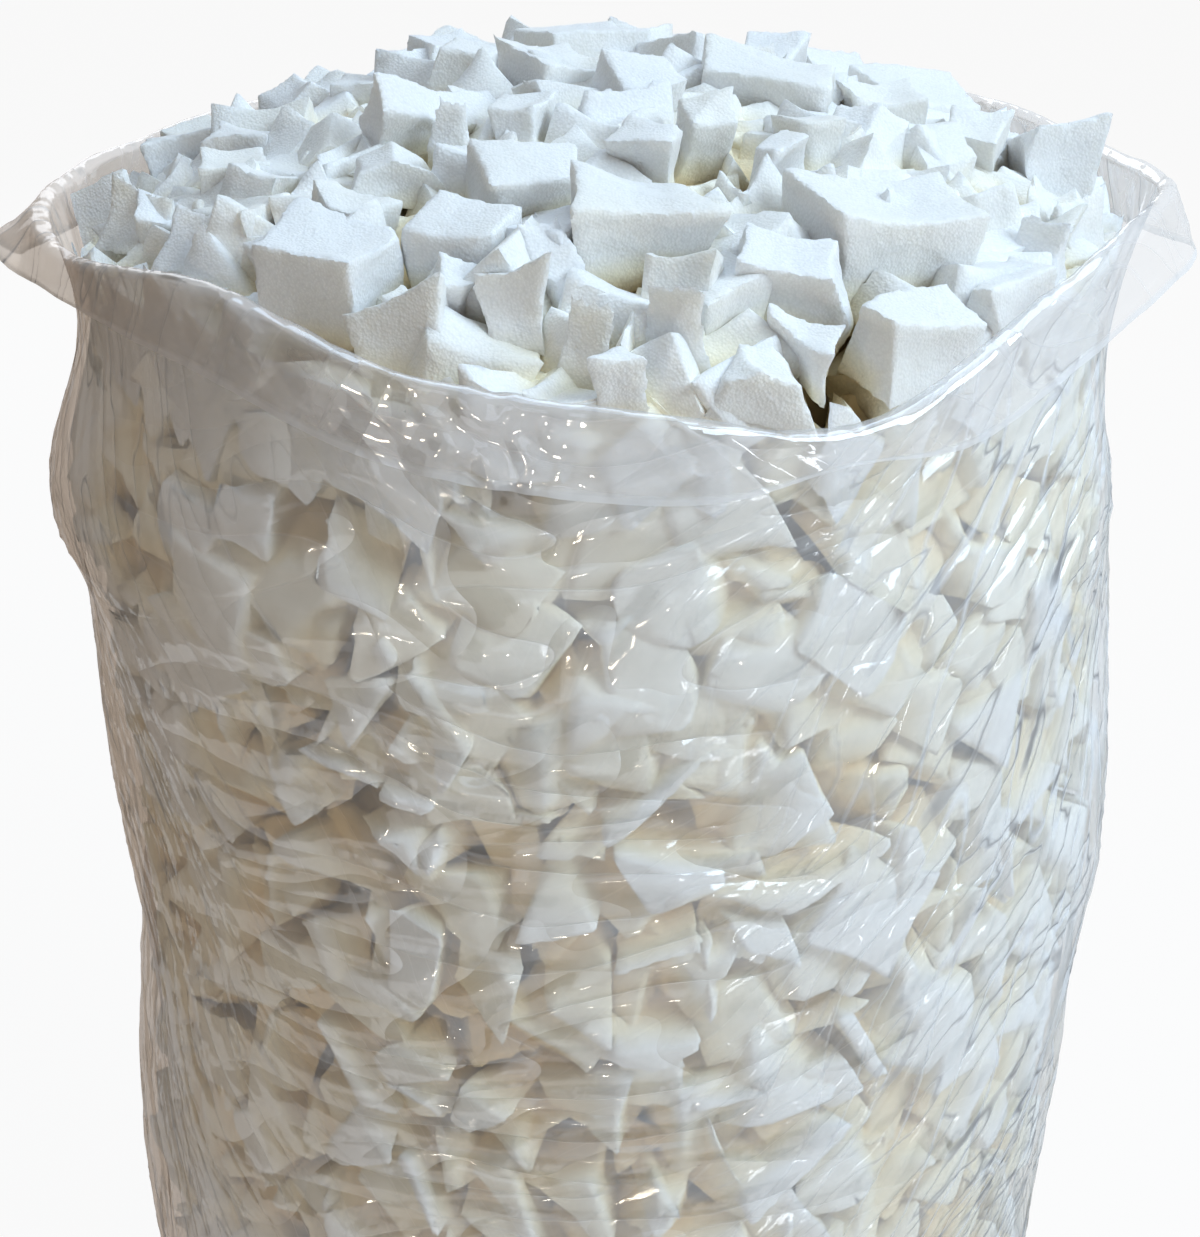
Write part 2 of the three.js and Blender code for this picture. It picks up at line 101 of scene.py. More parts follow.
def add_node(tree, kind, values=None, **settings):
    """A node with its settings, and its sockets filled from values or from other nodes' sockets."""
    node = tree.nodes.new(kind)
    for key, value in settings.items():
        setattr(node, key, value)
    for socket, value in (values or {}).items():
        if isinstance(value, bpy.types.NodeSocket):
            tree.links.new(value, node.inputs[socket])
        else:
            node.inputs[socket].default_value = value
    return node


def seen_share(tree):
    """One for camera, mirror and see-through rays, and zero for the rays that light the object."""
    rays = add_node(tree, "ShaderNodeLightPath").outputs
    two = add_node(tree, "ShaderNodeMath", {0: rays["Is Camera Ray"], 1: rays["Is Glossy Ray"]}).outputs[0]
    three = add_node(tree, "ShaderNodeMath", {0: two, 1: rays["Is Transmission Ray"]}, use_clamp=True)
    return three.outputs[0]


# %% Make the floor
FLOOR_SIDE = 16.0
FLOOR_GLOW = 0.93

floor_paint, floor_output = new_material("pale_floor")
tree = floor_paint.node_tree
grain = add_node(tree, "ShaderNodeTexNoise", {"Scale": 35.0, "Detail": 4.0})
tint = add_node(tree, "ShaderNodeMix", {"Factor": grain.outputs["Fac"]}, data_type="RGBA")
tint.inputs["A"].default_value = (0.7, 0.7, 0.7, 1.0)
tint.inputs["B"].default_value = (0.74, 0.74, 0.74, 1.0)
matt = add_node(tree, "ShaderNodeBsdfPrincipled", {"Base Color": tint.outputs["Result"], "Roughness": 0.9})
glow = add_node(tree, "ShaderNodeEmission", {"Color": (1.0, 1.0, 1.0, 1.0), "Strength": 1.0})
share = add_node(tree, "ShaderNodeMath", {0: seen_share(tree), 1: FLOOR_GLOW}, operation="MULTIPLY")
blend = add_node(tree, "ShaderNodeMixShader", {0: share.outputs[0], 1: matt.outputs[0], 2: glow.outputs[0]})
tree.links.new(blend.outputs[0], floor_output.inputs["Surface"])
floor_paint.cycles.emission_sampling = "NONE"

floor_mesh = bpy.data.meshes.new("floor")
half = FLOOR_SIDE / 2
floor_corners = [(-half, -half, 0), (half, -half, 0), (half, half, 0), (-half, half, 0)]
floor_mesh.from_pydata(floor_corners, [], [(0, 1, 2, 3)])
floor = bpy.data.objects.new("floor", floor_mesh)
floor_mesh.materials.append(floor_paint)
scene.collection.objects.link(floor)
print("floor side in metres:", FLOOR_SIDE)

# %% [markdown]
# ## Light
#
# In the photograph a cool window lights the heap from the upper right, the left side lies in warm shade,
# and small warm lamps behind the viewer leave glints on the film. One area lamp stands for the window, a
# larger one for the ceiling, a weak one for the room behind the viewer, and one lights the back. The
# world gives the shade its level, and a dark card on the left keeps the pale floor from filling the
# shade. Three small lamps give the glints. They are weak, but small, so their reflections are sharp, and
# they stand low, because the camera looks down and an upright film mirrors what lies below it. The camera
# sees neither the lamps nor the card. The floor's glow and the even world are not sampled as lamps, which
# saves time.

# %% World
AMBIENT_COLOUR = (1.0, 0.81, 0.64, 1.0)
AMBIENT_STRENGTH = 0.14

world = bpy.data.worlds.new("studio")
world.use_nodes = True
tree = world.node_tree
tree.nodes.clear()
ambient = add_node(tree, "ShaderNodeBackground", {"Color": AMBIENT_COLOUR, "Strength": AMBIENT_STRENGTH})
white = add_node(tree, "ShaderNodeBackground", {"Color": (1.0, 1.0, 1.0, 1.0), "Strength": 1.0})
either = {0: seen_share(tree), 1: ambient.outputs[0], 2: white.outputs[0]}
choice = add_node(tree, "ShaderNodeMixShader", either)
add_node(tree, "ShaderNodeOutputWorld", {"Surface": choice.outputs[0]})
world.cycles.sampling_method = "NONE"
scene.world = world
scene.cycles.diffuse_bounces = 2
print("world strength:", AMBIENT_STRENGTH)

# %% Lamps
LAMP_AIM = Vector((0.0, 0.0, 0.62))
# Each lamp has a place, a width and height, watts and a colour.
LAMPS = {
    "window": ((1.4, -0.75, 1.95), (1.0, 1.0), 29.0, (0.7, 0.86, 1.0)),
    "ceiling": ((0.2, 0.2, 2.6), (2.0, 2.0), 23.0, (0.61, 0.8, 1.0)),
    "room": ((-0.6, -2.0, 1.5), (1.0, 1.0), 3.2, (0.8, 0.9, 1.0)),
    "back": ((-0.35, 2.1, 1.1), (1.6, 1.2), 11.0, (0.92, 0.96, 1.0)),
    "glint_left": ((-0.95, -1.5, 0.5), (0.09, 0.09), 1.3, (1.0, 0.86, 0.66)),
    "glint_front": ((-0.25, -1.9, 0.45), (0.09, 0.09), 1.5, (1.0, 0.92, 0.78)),
    "glint_right": ((1.35, -1.5, 0.45), (0.08, 0.9), 2.6, (0.9, 0.95, 1.0)),
}
for name, (place, size, watts, colour) in LAMPS.items():
    lamp_data = bpy.data.lights.new(name, "AREA")
    lamp_data.shape = "RECTANGLE"
    lamp_data.size, lamp_data.size_y = size
    lamp_data.energy = watts
    lamp_data.color = colour
    lamp = bpy.data.objects.new(name, lamp_data)
    lamp.location = place
    lamp.visible_camera = False
    lamp.rotation_euler = (LAMP_AIM - lamp.location).to_track_quat("-Z", "Y").to_euler()
    scene.collection.objects.link(lamp)
print("lamps:", ", ".join(LAMPS))

# %% Dark card on the shaded side
CARD_AT = -0.7
CARD_Y = (-0.95, 0.8)
CARD_FOOT = 0.01
CARD_TOP = 1.3

card_paint, card_output = new_material("dark_card")
tree = card_paint.node_tree
fibres = add_node(tree, "ShaderNodeTexNoise", {"Scale": 60.0, "Detail": 3.0})
shade = add_node(tree, "ShaderNodeMix", {"Factor": fibres.outputs["Fac"]}, data_type="RGBA")
shade.inputs["A"].default_value = (0.11, 0.085, 0.065, 1.0)
shade.inputs["B"].default_value = (0.15, 0.115, 0.09, 1.0)
card_look = {"Base Color": shade.outputs["Result"], "Roughness": 0.9}
card_matt = add_node(tree, "ShaderNodeBsdfPrincipled", card_look)
tree.links.new(card_matt.outputs[0], card_output.inputs["Surface"])
card_mesh = bpy.data.meshes.new("dark_card")
near, far = CARD_Y
card_outline = ((near, CARD_FOOT), (far, CARD_FOOT), (far, CARD_TOP), (near, CARD_TOP))
card_mesh.from_pydata([(CARD_AT, y, z) for y, z in card_outline], [], [(0, 1, 2, 3)])
card_mesh.materials.append(card_paint)
card = bpy.data.objects.new("dark_card", card_mesh)
card.visible_camera = False
scene.collection.objects.link(card)
print("dark card stands at x =", CARD_AT)

# %% [markdown]
# ## Small tools for making pieces
#
# Foam and film are both irregular, and the same soft noise shapes them. Blender's own noise gives one
# value or one arrow at a point. Its arrows start from the clock unless a seed is set, so one is set, and
# the sack comes out alike on every run.

# %% Noise and mesh tools
NOISE_SEED = 1
noise.seed_set(NOISE_SEED)


def noise_at(points, pitch, seed):
    """Soft values from about -1 to 1, one for each point, with bumps about pitch apart."""
    moved = points / pitch + seed * 17.31
    return np.array([noise.noise(point) for point in moved.tolist()])


def drift_at(points, pitch, seed):
    """Soft arrows, one for each point."""
    moved = points / pitch + seed * 11.73
    return np.array([noise.noise_vector(point) for point in moved.tolist()])


def mesh_points(mesh):
    """A mesh's points as rows of an array."""
    places = np.empty(len(mesh.vertices) * 3)
    mesh.vertices.foreach_get("co", places)
    return places.reshape(-1, 3)


def set_points(mesh, points):
    """Puts rows of an array back as a mesh's points."""
    mesh.vertices.foreach_set("co", points.ravel())
    mesh.update()


def set_values(mesh, name, values):
    """A named value for each point, which a material can read."""
    layer = mesh.attributes.new(name, "FLOAT", "POINT")
    layer.data.foreach_set("value", values)


def grid_faces(rows, columns):
    """Four-sided faces between rings of points, ring above ring, closed round."""
    faces = []
    for row in range(rows - 1):
        low = row * columns
        high = low + columns
        for column in range(columns):
            after = (column + 1) % columns
            faces.append((low + column, low + after, high + after, high + column))
    return faces


def add_piece(name, mesh, material):
    """A finished piece: linked, painted, and riding on the one body."""
    piece = bpy.data.objects.new(name, mesh)
    scene.collection.objects.link(piece)
    mesh.materials.clear()
    mesh.materials.append(material)
    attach(piece, "root")
    return piece


def through_modifiers(mesh, *modifiers):
    """The mesh after the modifiers, each given as its kind and its settings."""
    helper = bpy.data.objects.new("helper", mesh)
    scene.collection.objects.link(helper)
    for kind, settings in modifiers:
        modifier = helper.modifiers.new(kind.lower(), kind)
        for key, value in settings.items():
            setattr(modifier, key, value)
    shaped = helper.evaluated_get(bpy.context.evaluated_depsgraph_get())
    made = bpy.data.meshes.new_from_object(shaped)
    bpy.data.objects.remove(helper)
    return made


# %% [markdown]
# ## The sack's form
#
# The film's form is a formula: a profile that runs from the base up the wall, over the shoulder and the
# neck, round the turned-over rim and down the cuff, and that changes round the sack. The foam needs it
# too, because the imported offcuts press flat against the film. The sizes are those of the solid, in
# millimetres and degrees.

# %% Sizes of the sack
LAYFLAT_WIDTH = 737.0
GIRTH_SHARE = 0.955
FILM_WALL = 0.4
BASE_ROUND = 55.0
SHOULDER = 612.0
NECK_RISE = 117.0
MOUTH_DRAW = 1.5
MOUTH_PINCH = 10.0
NECK_DRAW = 6.0
EAR_DRAW = 8.0
EAR_REACH = 1.5
EAR_SPREAD = 11.0
CREASES = (187.0, 349.0)
PINCH_ASIDE = 34.0
PINCH_SPREAD = 20.0
CUFF_TURN = 4.0
CUFF_WIDTH = 28.0
CUFF_SPLAY = 8.0
EAR_SPLAY = 13.0
FOLD_DEPTH = 4.5
FOLD_SPREAD = 45.0
FOLD_LEAST = 0.3
FOLD_COUNT = 13
FOLD_TWIST = 0.03
SLUMP_SHIFT = 6.0
SLUMP_LEVEL = 425.0
SLUMP_PITCH = 430.0
BULGE_OUT = 19.0
BULGE_BEARING = 200.0
BULGE_SPREAD = 38.0
BULGE_ABOVE = 36.0
BULGE_RISE = 44.0
RIM_WAVES = ((232.0, 19.0, 18.5), (338.0, 17.5, 22.0), (292.5, -19.0, 16.5), (110.0, -13.0, 48.0))
CUFF_NARROWS = ((292.0, 0.7, 11.0), (206.0, 0.55, 17.0))
HEAP_RISE = 65.0
HEAP_EDGE = 21.0
HEAP_LEAN = 12.0

BODY_RADIUS = GIRTH_SHARE * LAYFLAT_WIDTH / math.pi
MOUTH_RADIUS = BODY_RADIUS - MOUTH_DRAW
RIM = SHOULDER + NECK_RISE
HEAP_BASE = RIM - HEAP_EDGE
print("body radius in millimetres:", round(BODY_RADIUS, 1))


# %% The form as functions
def bell(distance, spread):
    """One at no distance, falling to nothing well beyond the spread."""
    return np.exp(-((distance / spread) ** 2))


def bearing_gap(bearing, degrees):
    """Degrees between bearings and one fixed bearing."""
    return np.abs((np.degrees(bearing) - degrees + 180.0) % 360.0 - 180.0)


def from_crease(bearing):
    """Degrees to the nearer of the tube's two side creases."""
    return np.minimum(bearing_gap(bearing, CREASES[0]), bearing_gap(bearing, CREASES[1]))


def rim_at(bearing):
    """Height of the rim, which rises and dips round the mouth."""
    return RIM + sum(rise * bell(bearing_gap(bearing, at), spread) for at, rise, spread in RIM_WAVES)


def cuff_at(bearing):
    """Width of the cuff, which narrows in two places."""
    narrowed = sum(part * bell(bearing_gap(bearing, at), spread) for at, part, spread in CUFF_NARROWS)
    return CUFF_WIDTH * (1 - narrowed)


def mouth_at(bearing):
    """Radius of the mouth, pinched beside the ears."""
    pinch = MOUTH_PINCH * bell(from_crease(bearing) - PINCH_ASIDE, PINCH_SPREAD)
    return MOUTH_RADIUS - pinch + EAR_REACH * bell(from_crease(bearing), EAR_SPREAD)


def bulge_at(bearing, height):
    """The shoulder that the filling presses out."""
    around = bell(bearing_gap(bearing, BULGE_BEARING), BULGE_SPREAD)
    return BULGE_OUT * around * bell(height - SHOULDER - BULGE_ABOVE, BULGE_RISE)


def fullness(bearing, height):
    """Gathers beside the creases, and the bulge of the shoulder."""
    depth = FOLD_DEPTH * (FOLD_LEAST + (1 - FOLD_LEAST) * bell(from_crease(bearing), FOLD_SPREAD))
    run = np.sin(math.pi * height / RIM)
    gathers = depth * run * np.sin(FOLD_COUNT * bearing - FOLD_TWIST * np.cos(bearing) * height)
    return gathers + bulge_at(bearing, height)


def neck_radius(bearing, share):
    """The film between the shoulder, share 0, and the rim, share 1."""
    height = SHOULDER + (rim_at(bearing) - CUFF_TURN - SHOULDER) * share
    hollow = (NECK_DRAW + EAR_DRAW * bell(from_crease(bearing), EAR_SPREAD)) * np.sin(math.pi * share)
    ease = share * share * (3 - 2 * share)
    lean_in = (mouth_at(bearing) - BODY_RADIUS) * ease
    return BODY_RADIUS + lean_in - hollow + fullness(bearing, height) * (1 - share)


def wall_radius(bearing, height):
    """The film's distance from the middle line at any height up to the rim."""
    low = np.clip(1 - height / BASE_ROUND, 0, 1)
    rounding = BASE_ROUND * (1 - np.sqrt(1 - low**2))
    wall = BODY_RADIUS - rounding + fullness(bearing, height) * (height > BASE_ROUND)
    share = np.clip((height - SHOULDER) / (rim_at(bearing) - CUFF_TURN - SHOULDER), 0, 1)
    return np.where(height > SHOULDER, neck_radius(bearing, share), wall)


def sway(height):
    """How far the middle line leans aside at a height, because the filling slumps."""
    run = np.sin(math.pi * np.minimum(height, RIM) / RIM)
    return SLUMP_SHIFT * run * np.cos(2 * math.pi * (height - SLUMP_LEVEL) / SLUMP_PITCH)


def heap_at(x, y):
    """The heap's mean surface over the plan."""
    share = np.minimum(1, (x**2 + y**2) / MOUTH_RADIUS**2)
    return HEAP_BASE + HEAP_RISE * (1 - share) - HEAP_LEAN * y / MOUTH_RADIUS


# %% [markdown]
# The solid model was centred by its box after it was made. The same shift is found here by comparing the
# formula's own box with the film node's box, and every piece that is made from the formula gets it at the
# end.


# %% Find the shift of the middle line
def film_outline():
    """The widest points of the film, for its box: the cuff's free edge."""
    bearing = np.linspace(0, 2 * math.pi, 721)
    splay = np.radians(CUFF_SPLAY + EAR_SPLAY * bell(from_crease(bearing), EAR_SPREAD))
    turned = mouth_at(bearing) + CUFF_TURN * (1 + np.cos(splay)) + cuff_at(bearing) * np.sin(splay)
    return turned * np.cos(bearing), turned * np.sin(bearing)


film_low, film_high = (np.array(corner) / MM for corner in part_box("film_sack"))
outline_x, outline_y = film_outline()
SHIFT_X = (film_low[0] + film_high[0] - outline_x.min() - outline_x.max()) / 2
SHIFT_Y = (film_low[1] + film_high[1] - outline_y.min() - outline_y.max()) / 2
print("middle line moved by", round(SHIFT_X, 2), round(SHIFT_Y, 2), "mm")


def to_frame(points):
    """Points of the formula, in millimetres, as places in the frame, in metres."""
    return (points + np.array((SHIFT_X, SHIFT_Y, 0.0))) * MM


def from_frame(points):
    """Places in the frame, in metres, as points of the formula, in millimetres."""
    return points / MM - np.array((SHIFT_X, SHIFT_Y, 0.0))


# %% [markdown]
# ## Foam as a material
#
# Cut foam is matt and almost white, with open cells of about a millimetre, and faces that were near the
# block's skin are creamier. Deep between the pieces the light has met foam many times and turns ochre. A
# renderer stops after a few such bounces, so that ochre is painted shade: each point of the foam carries
# a value for how deep it lies, and a colour ramp paints the shade by it. There are two finishes of one
# recipe. Open foam has cells, a Voronoi pattern with finer noise, used for a faint colour change and for
# the bump, and some light spreads under its surface. Foam that the film presses is smooth and seen
# through film, so it has neither. Light that only bounces between the pieces meets a plain Diffuse shader
# of nearly the same colour, which saves the time of the fine pattern.

# %% Foam colours
FOAM_WHITE = (0.95, 0.95, 0.945, 1.0)
FOAM_CREAM = (0.945, 0.92, 0.84, 1.0)
# Painted shade: the colours that the depth ramp multiplies in, white in the open and ochre deep between the
# pieces.
PAINTED_SHADE_BY_DEPTH = ((0.0, (1.0, 1.0, 1.0, 1.0)), (0.4, (1.0, 0.94, 0.77, 1.0)), (1.0, (0.98, 0.79, 0.47, 1.0)))
CELL_PITCH = 0.0011
FUZZ_SCALE = 0.6 / CELL_PITCH
CELL_BUMP = 0.0006
GLOW_WEIGHT = 0.25
GLOW_RADIUS = (1.0, 0.8, 0.5)
GLOW_REACH = 0.010


# %% Make the two foam finishes
def multiplied(tree, first, second):
    """The product of two colours, or of a colour and a value."""
    return add_node(tree, "ShaderNodeVectorMath", {0: first, 1: second}, operation="MULTIPLY").outputs[0]


def foam_material(name, open_cells):
    """Cut foam. Open cells pit its surface and let light spread under it."""
    made, output = new_material(name)
    tree = made.node_tree
    where = add_node(tree, "ShaderNodeTexCoord").outputs["Object"]
    depth_value = add_node(tree, "ShaderNodeAttribute", attribute_name="depth").outputs["Fac"]
    tone_value = add_node(tree, "ShaderNodeAttribute", attribute_name="tone").outputs["Fac"]
    # The ramp paints shade by depth, standing in for light that has bounced many times between the pieces.
    tint = add_node(tree, "ShaderNodeValToRGB", {"Fac": depth_value})
    for number, (place, colour) in enumerate(PAINTED_SHADE_BY_DEPTH):
        stops = tint.color_ramp.elements
        stop = stops[number] if number < len(stops) else stops.new(place)
        stop.position = place
        stop.color = colour
    patches = add_node(tree, "ShaderNodeTexNoise", {"Vector": where, "Scale": 38.0, "Detail": 0.0})
    aged = add_node(tree, "ShaderNodeMath", {0: patches.outputs["Fac"], 1: tone_value}, operation="MULTIPLY")
    bare = add_node(tree, "ShaderNodeMix", {"Factor": aged.outputs[0]}, data_type="RGBA")
    bare.inputs["A"].default_value = FOAM_WHITE
    bare.inputs["B"].default_value = FOAM_CREAM
    deep = multiplied(tree, bare.outputs["Result"], tint.outputs[0])
    if open_cells:
        seen = add_node(tree, "ShaderNodeBsdfPrincipled", {"Roughness": 0.95, "Specular IOR Level": 0.2})
        seen.subsurface_method = "BURLEY"
        cells = add_node(tree, "ShaderNodeTexVoronoi", {"Vector": where, "Scale": 1 / CELL_PITCH})
        fuzz = add_node(tree, "ShaderNodeTexNoise", {"Vector": where, "Scale": FUZZ_SCALE, "Detail": 1.0})
        pit_shade = {"Value": cells.outputs["Distance"], "To Min": 1.02, "To Max": 0.92}
        pits = add_node(tree, "ShaderNodeMapRange", pit_shade)
        pitted = multiplied(tree, deep, pits.outputs[0])
        height = add_node(tree, "ShaderNodeMath", {0: cells.outputs["Distance"], 1: fuzz.outputs["Fac"]})
        relief = {"Height": height.outputs[0], "Strength": 0.4, "Distance": CELL_BUMP}
        bumps = add_node(tree, "ShaderNodeBump", relief)
        tree.links.new(pitted, seen.inputs["Base Color"])
        tree.links.new(bumps.outputs[0], seen.inputs["Normal"])
        seen.inputs["Subsurface Weight"].default_value = GLOW_WEIGHT
        seen.inputs["Subsurface Radius"].default_value = GLOW_RADIUS
        seen.inputs["Subsurface Scale"].default_value = GLOW_REACH
    else:
        seen = add_node(tree, "ShaderNodeBsdfDiffuse", {"Color": deep, "Roughness": 0.9})
    plain_colour = multiplied(tree, tint.outputs[0], FOAM_WHITE[:3])
    plain = add_node(tree, "ShaderNodeBsdfDiffuse", {"Color": plain_colour})
    bounced = add_node(tree, "ShaderNodeLightPath").outputs["Is Diffuse Ray"]
    either = add_node(tree, "ShaderNodeMixShader", {0: bounced, 1: seen.outputs[0], 2: plain.outputs[0]})
    tree.links.new(either.outputs[0], output.inputs["Surface"])
    return made


open_foam = foam_material("cut_foam", open_cells=True)
pressed_foam = foam_material("pressed_foam", open_cells=False)
print("foam cells in millimetres:", CELL_PITCH / MM)

# %% [markdown]
# ## Offcuts
#
# A shredder and hand knives leave blocks, wedges, shards and pieces with a curved face. Their edges are
# crisp but a little ragged, and their faces are dished, because foam is squeezed while it is cut and
# springs back. Each piece starts from a plain hull. A voxel remesh gives it an even skin, which leaves
# fine teeth along the edges. Then each point moves towards the middle by a power of its distance, so
# corners stay and faces sink, and soft noise bends it.


# %% Shape one offcut
DISH_LEAST = 0.2
DISH_MOST = 0.68
DISH_LARGE = 0.75
LARGE_HALF = 0.034
BEND = 0.17
BEND_PITCH = 1.4
TAPER = 0.3
RAGGED = 0.0005
RAGGED_PITCH = 0.0055
SHARP_ANGLE = 48.0
HEAP_SKIN = 1.0
HEAP_FADE = 19.0
WALL_SKIN = 5.0
WALL_FADE = 17.0


def shape_offcut(hull, voxel, keep, seed, soften):
    """An offcut from a closed hull mesh, with dished faces, a bend and ragged edges, thinned to a share."""
    rng = random.Random(seed)
    even_skin = {"mode": "VOXEL", "voxel_size": voxel, "use_smooth_shade": True}
    skin = through_modifiers(hull, ("REMESH", even_skin))
    points = mesh_points(skin)
    middle = (points.min(axis=0) + points.max(axis=0)) / 2
    arms = points - middle
    reach = np.linalg.norm(arms, axis=1)
    size = reach.max()
    dish = rng.uniform(DISH_LEAST, DISH_MOST) * (DISH_LARGE if size > LARGE_HALF else 1.0)
    arms = arms * ((reach / size) ** dish)[:, None]
    arms = arms * (1 + rng.uniform(-TAPER, TAPER) * arms[:, [rng.randrange(3)]] / size)
    points = middle + arms
    points += BEND * size * drift_at(points, BEND_PITCH * size, seed % 97)
    points += RAGGED * drift_at(points, RAGGED_PITCH, seed % 89)
    set_points(skin, points)
    rounded = ("SMOOTH", {"factor": 0.5, "iterations": soften})
    thin = through_modifiers(skin, rounded, ("DECIMATE", {"ratio": keep}))
    bpy.data.meshes.remove(skin)
    return thin


def paint_depth(mesh, depth, tone, sharp=True):
    """Gives each point its depth and tone, and the mesh its smooth shading, with or without sharp edges."""
    set_values(mesh, "depth", depth)
    set_values(mesh, "tone", tone)
    mesh.shade_smooth()
    if sharp:
        mesh.set_sharp_from_angle(angle=math.radians(SHARP_ANGLE))


def depth_in_heap(points):
    """From 0 in the open to 1 well inside, for points of the formula in millimetres."""
    radius = np.hypot(points[:, 0], points[:, 1])
    bearing = np.arctan2(points[:, 1], points[:, 0])
    below = (heap_at(points[:, 0], points[:, 1]) - points[:, 2] - HEAP_SKIN) / HEAP_FADE
    behind = (wall_radius(bearing, np.clip(points[:, 2], 0, RIM)) - radius - WALL_SKIN) / WALL_FADE
    return np.clip(np.minimum(below, behind), 0.0, 1.0)


# %% [markdown]
# ### The loose offcuts on the heap
#
# The 54 offcuts that can be told apart have their own solids. Each is copied, shaped as above and put in
# place of its solid, so that it sits exactly where the heap carries it.

# %% Make the loose offcuts
LOOSE_VOXEL = 0.0014
LOOSE_KEEP = 0.36
LOOSE_SEED = 500
loose_names = sorted(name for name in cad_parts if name.startswith("foam_piece_"))
loose_pieces = []
for number, name in enumerate(loose_names):
    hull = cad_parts[name].data.copy()
    mesh = shape_offcut(hull, LOOSE_VOXEL, LOOSE_KEEP, LOOSE_SEED + number, soften=1)
    bpy.data.meshes.remove(hull)
    places = from_frame(mesh_points(mesh))
    tone = random.Random(number).random()
    paint_depth(mesh, depth_in_heap(places), np.full(len(places), tone))
    piece = add_piece(f"offcut_{name[-2:]}", mesh, open_foam)
    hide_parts(name)
    loose_pieces.append(piece)
print("loose offcuts:", len(loose_pieces), "with", sum(len(p.data.polygons) for p in loose_pieces), "faces")

# %% [markdown]
# ### Patterns for the many packed offcuts
#
# Some thousands of offcuts lie under and beside the loose ones. Shaping each alone would be slow, so a
# tray of patterns is shaped once, and each packed offcut is a pattern that is turned, stretched and set
# down by array arithmetic. Five forms in several versions are enough, because no two are turned and
# stretched alike. A fine tray serves the open heap, and a plainer one the wall, where film lies over it.

# %% Forms of the offcuts
def centred(corners):
    """Corners moved so that their mean is the middle."""
    return [tuple(corner) for corner in np.array(corners) - np.mean(corners, axis=0)]


CUBE = [(x, y, z) for x in (-1, 1) for y in (-1, 1) for z in (-1, 1)]
ARC = [(math.cos(a), y, 2 * math.sin(a) - 1) for a in np.radians((0, 45, 90, 135, 180)) for y in (-1, 1)]
FORMS = {
    "block": CUBE,
    "tapered": [(0.62 * x, 0.8 * y, z) if z > 0 else (x, y, z) for x, y, z in CUBE],
    "wedge": centred([corner for corner in CUBE if corner[2] < 0] + [(-0.9, 0.7, 1), (0.8, 0.5, 1)]),
    "shard": centred([(-1, -0.8, -1), (1, -1, -1), (0.3, 1, -1), (-0.5, 0.3, 1), (0.5, -0.4, 0.8)]),
    "curved": centred(ARC),
}
print("forms:", ", ".join(FORMS))

# %% Make the pattern tray
PATTERN_HALF = 0.02
CORNER_PLAY = 0.22


def hull_of(corners):
    """A closed hull mesh round some corners."""
    builder = bmesh.new()
    for corner in corners:
        builder.verts.new(corner)
    bmesh.ops.convex_hull(builder, input=builder.verts)
    mesh = bpy.data.meshes.new("hull")
    builder.to_mesh(mesh)
    builder.free()
    return mesh


def make_patterns(versions, voxel, keep):
    """Points in half widths, and triangles, of each pattern."""
    tray = []
    for version in range(versions):
        for number, corners in enumerate(FORMS.values()):
            seed = 40 * version + number
            rng = random.Random(seed)
            moved = [
                [PATTERN_HALF * share * (1 + CORNER_PLAY * rng.uniform(-1, 1)) for share in corner]
                for corner in corners
            ]
            hull = hull_of(moved)
            mesh = shape_offcut(hull, voxel, keep, seed, soften=2)
            bpy.data.meshes.remove(hull)
            mesh.calc_loop_triangles()
            faces = np.array([triangle.vertices for triangle in mesh.loop_triangles])
            points = mesh_points(mesh) / PATTERN_HALF
            tray.append((points - (points.min(axis=0) + points.max(axis=0)) / 2, faces))
            bpy.data.meshes.remove(mesh)
    return tray


fine_tray = make_patterns(versions=5, voxel=0.0019, keep=0.07)
plain_tray = make_patterns(versions=3, voxel=0.0030, keep=0.11)
for title, tray in (("fine", fine_tray), ("plain", plain_tray)):
    mean_faces = int(np.mean([len(faces) for _, faces in tray]))
    print(title, "patterns:", len(tray), "of about", mean_faces, "triangles")


# %% Set patterns down as one mesh
def set_down(tray, rows, limit):
    """Points, triangles and tones of many offcuts. Each row is a middle, three sizes, a turn and a seed."""
    all_points, all_faces, tones = [], [], []
    count = 0
    for middle, sizes, turn, seed in rows:
        draw = random.Random(seed)
        points, faces = tray[draw.randrange(len(tray))]
        matrix = np.array(turn.to_matrix())
        placed = (points * (np.array(sizes) / 2)) @ matrix.T + np.array(middle)
        all_points.append(limit(placed))
        all_faces.append(faces + count)
        tones.append(np.full(len(points), draw.random()))
        count += len(points)
    return np.concatenate(all_points), np.concatenate(all_faces), np.concatenate(tones)


def foam_mesh(name, points, faces, tones, depth, sharp):
    """One foam mesh from points of the formula in millimetres."""
    mesh = bpy.data.meshes.new(name)
    mesh.from_pydata(to_frame(points), [], faces.tolist())
    paint_depth(mesh, depth, tones, sharp)
    return mesh


def any_turn(rng, lean=math.pi):
    """A turn to any bearing, tipped by up to the lean."""
    return Euler((rng.uniform(-lean, lean), rng.uniform(-lean, lean), rng.uniform(-math.pi, math.pi)))


# %% [markdown]
# ### The bed of the heap
#
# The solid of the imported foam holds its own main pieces: a bed of offcuts under the loose ones, and a
# layer that presses against the film. They were set out by a sunflower spiral and a stream of repeatable
# numbers, and each was cut back by a plane towards each neighbour, as foam shares the room when it is
# squeezed. Repeating that recipe here with the same numbers puts each dressed piece exactly where the
# solid has it.

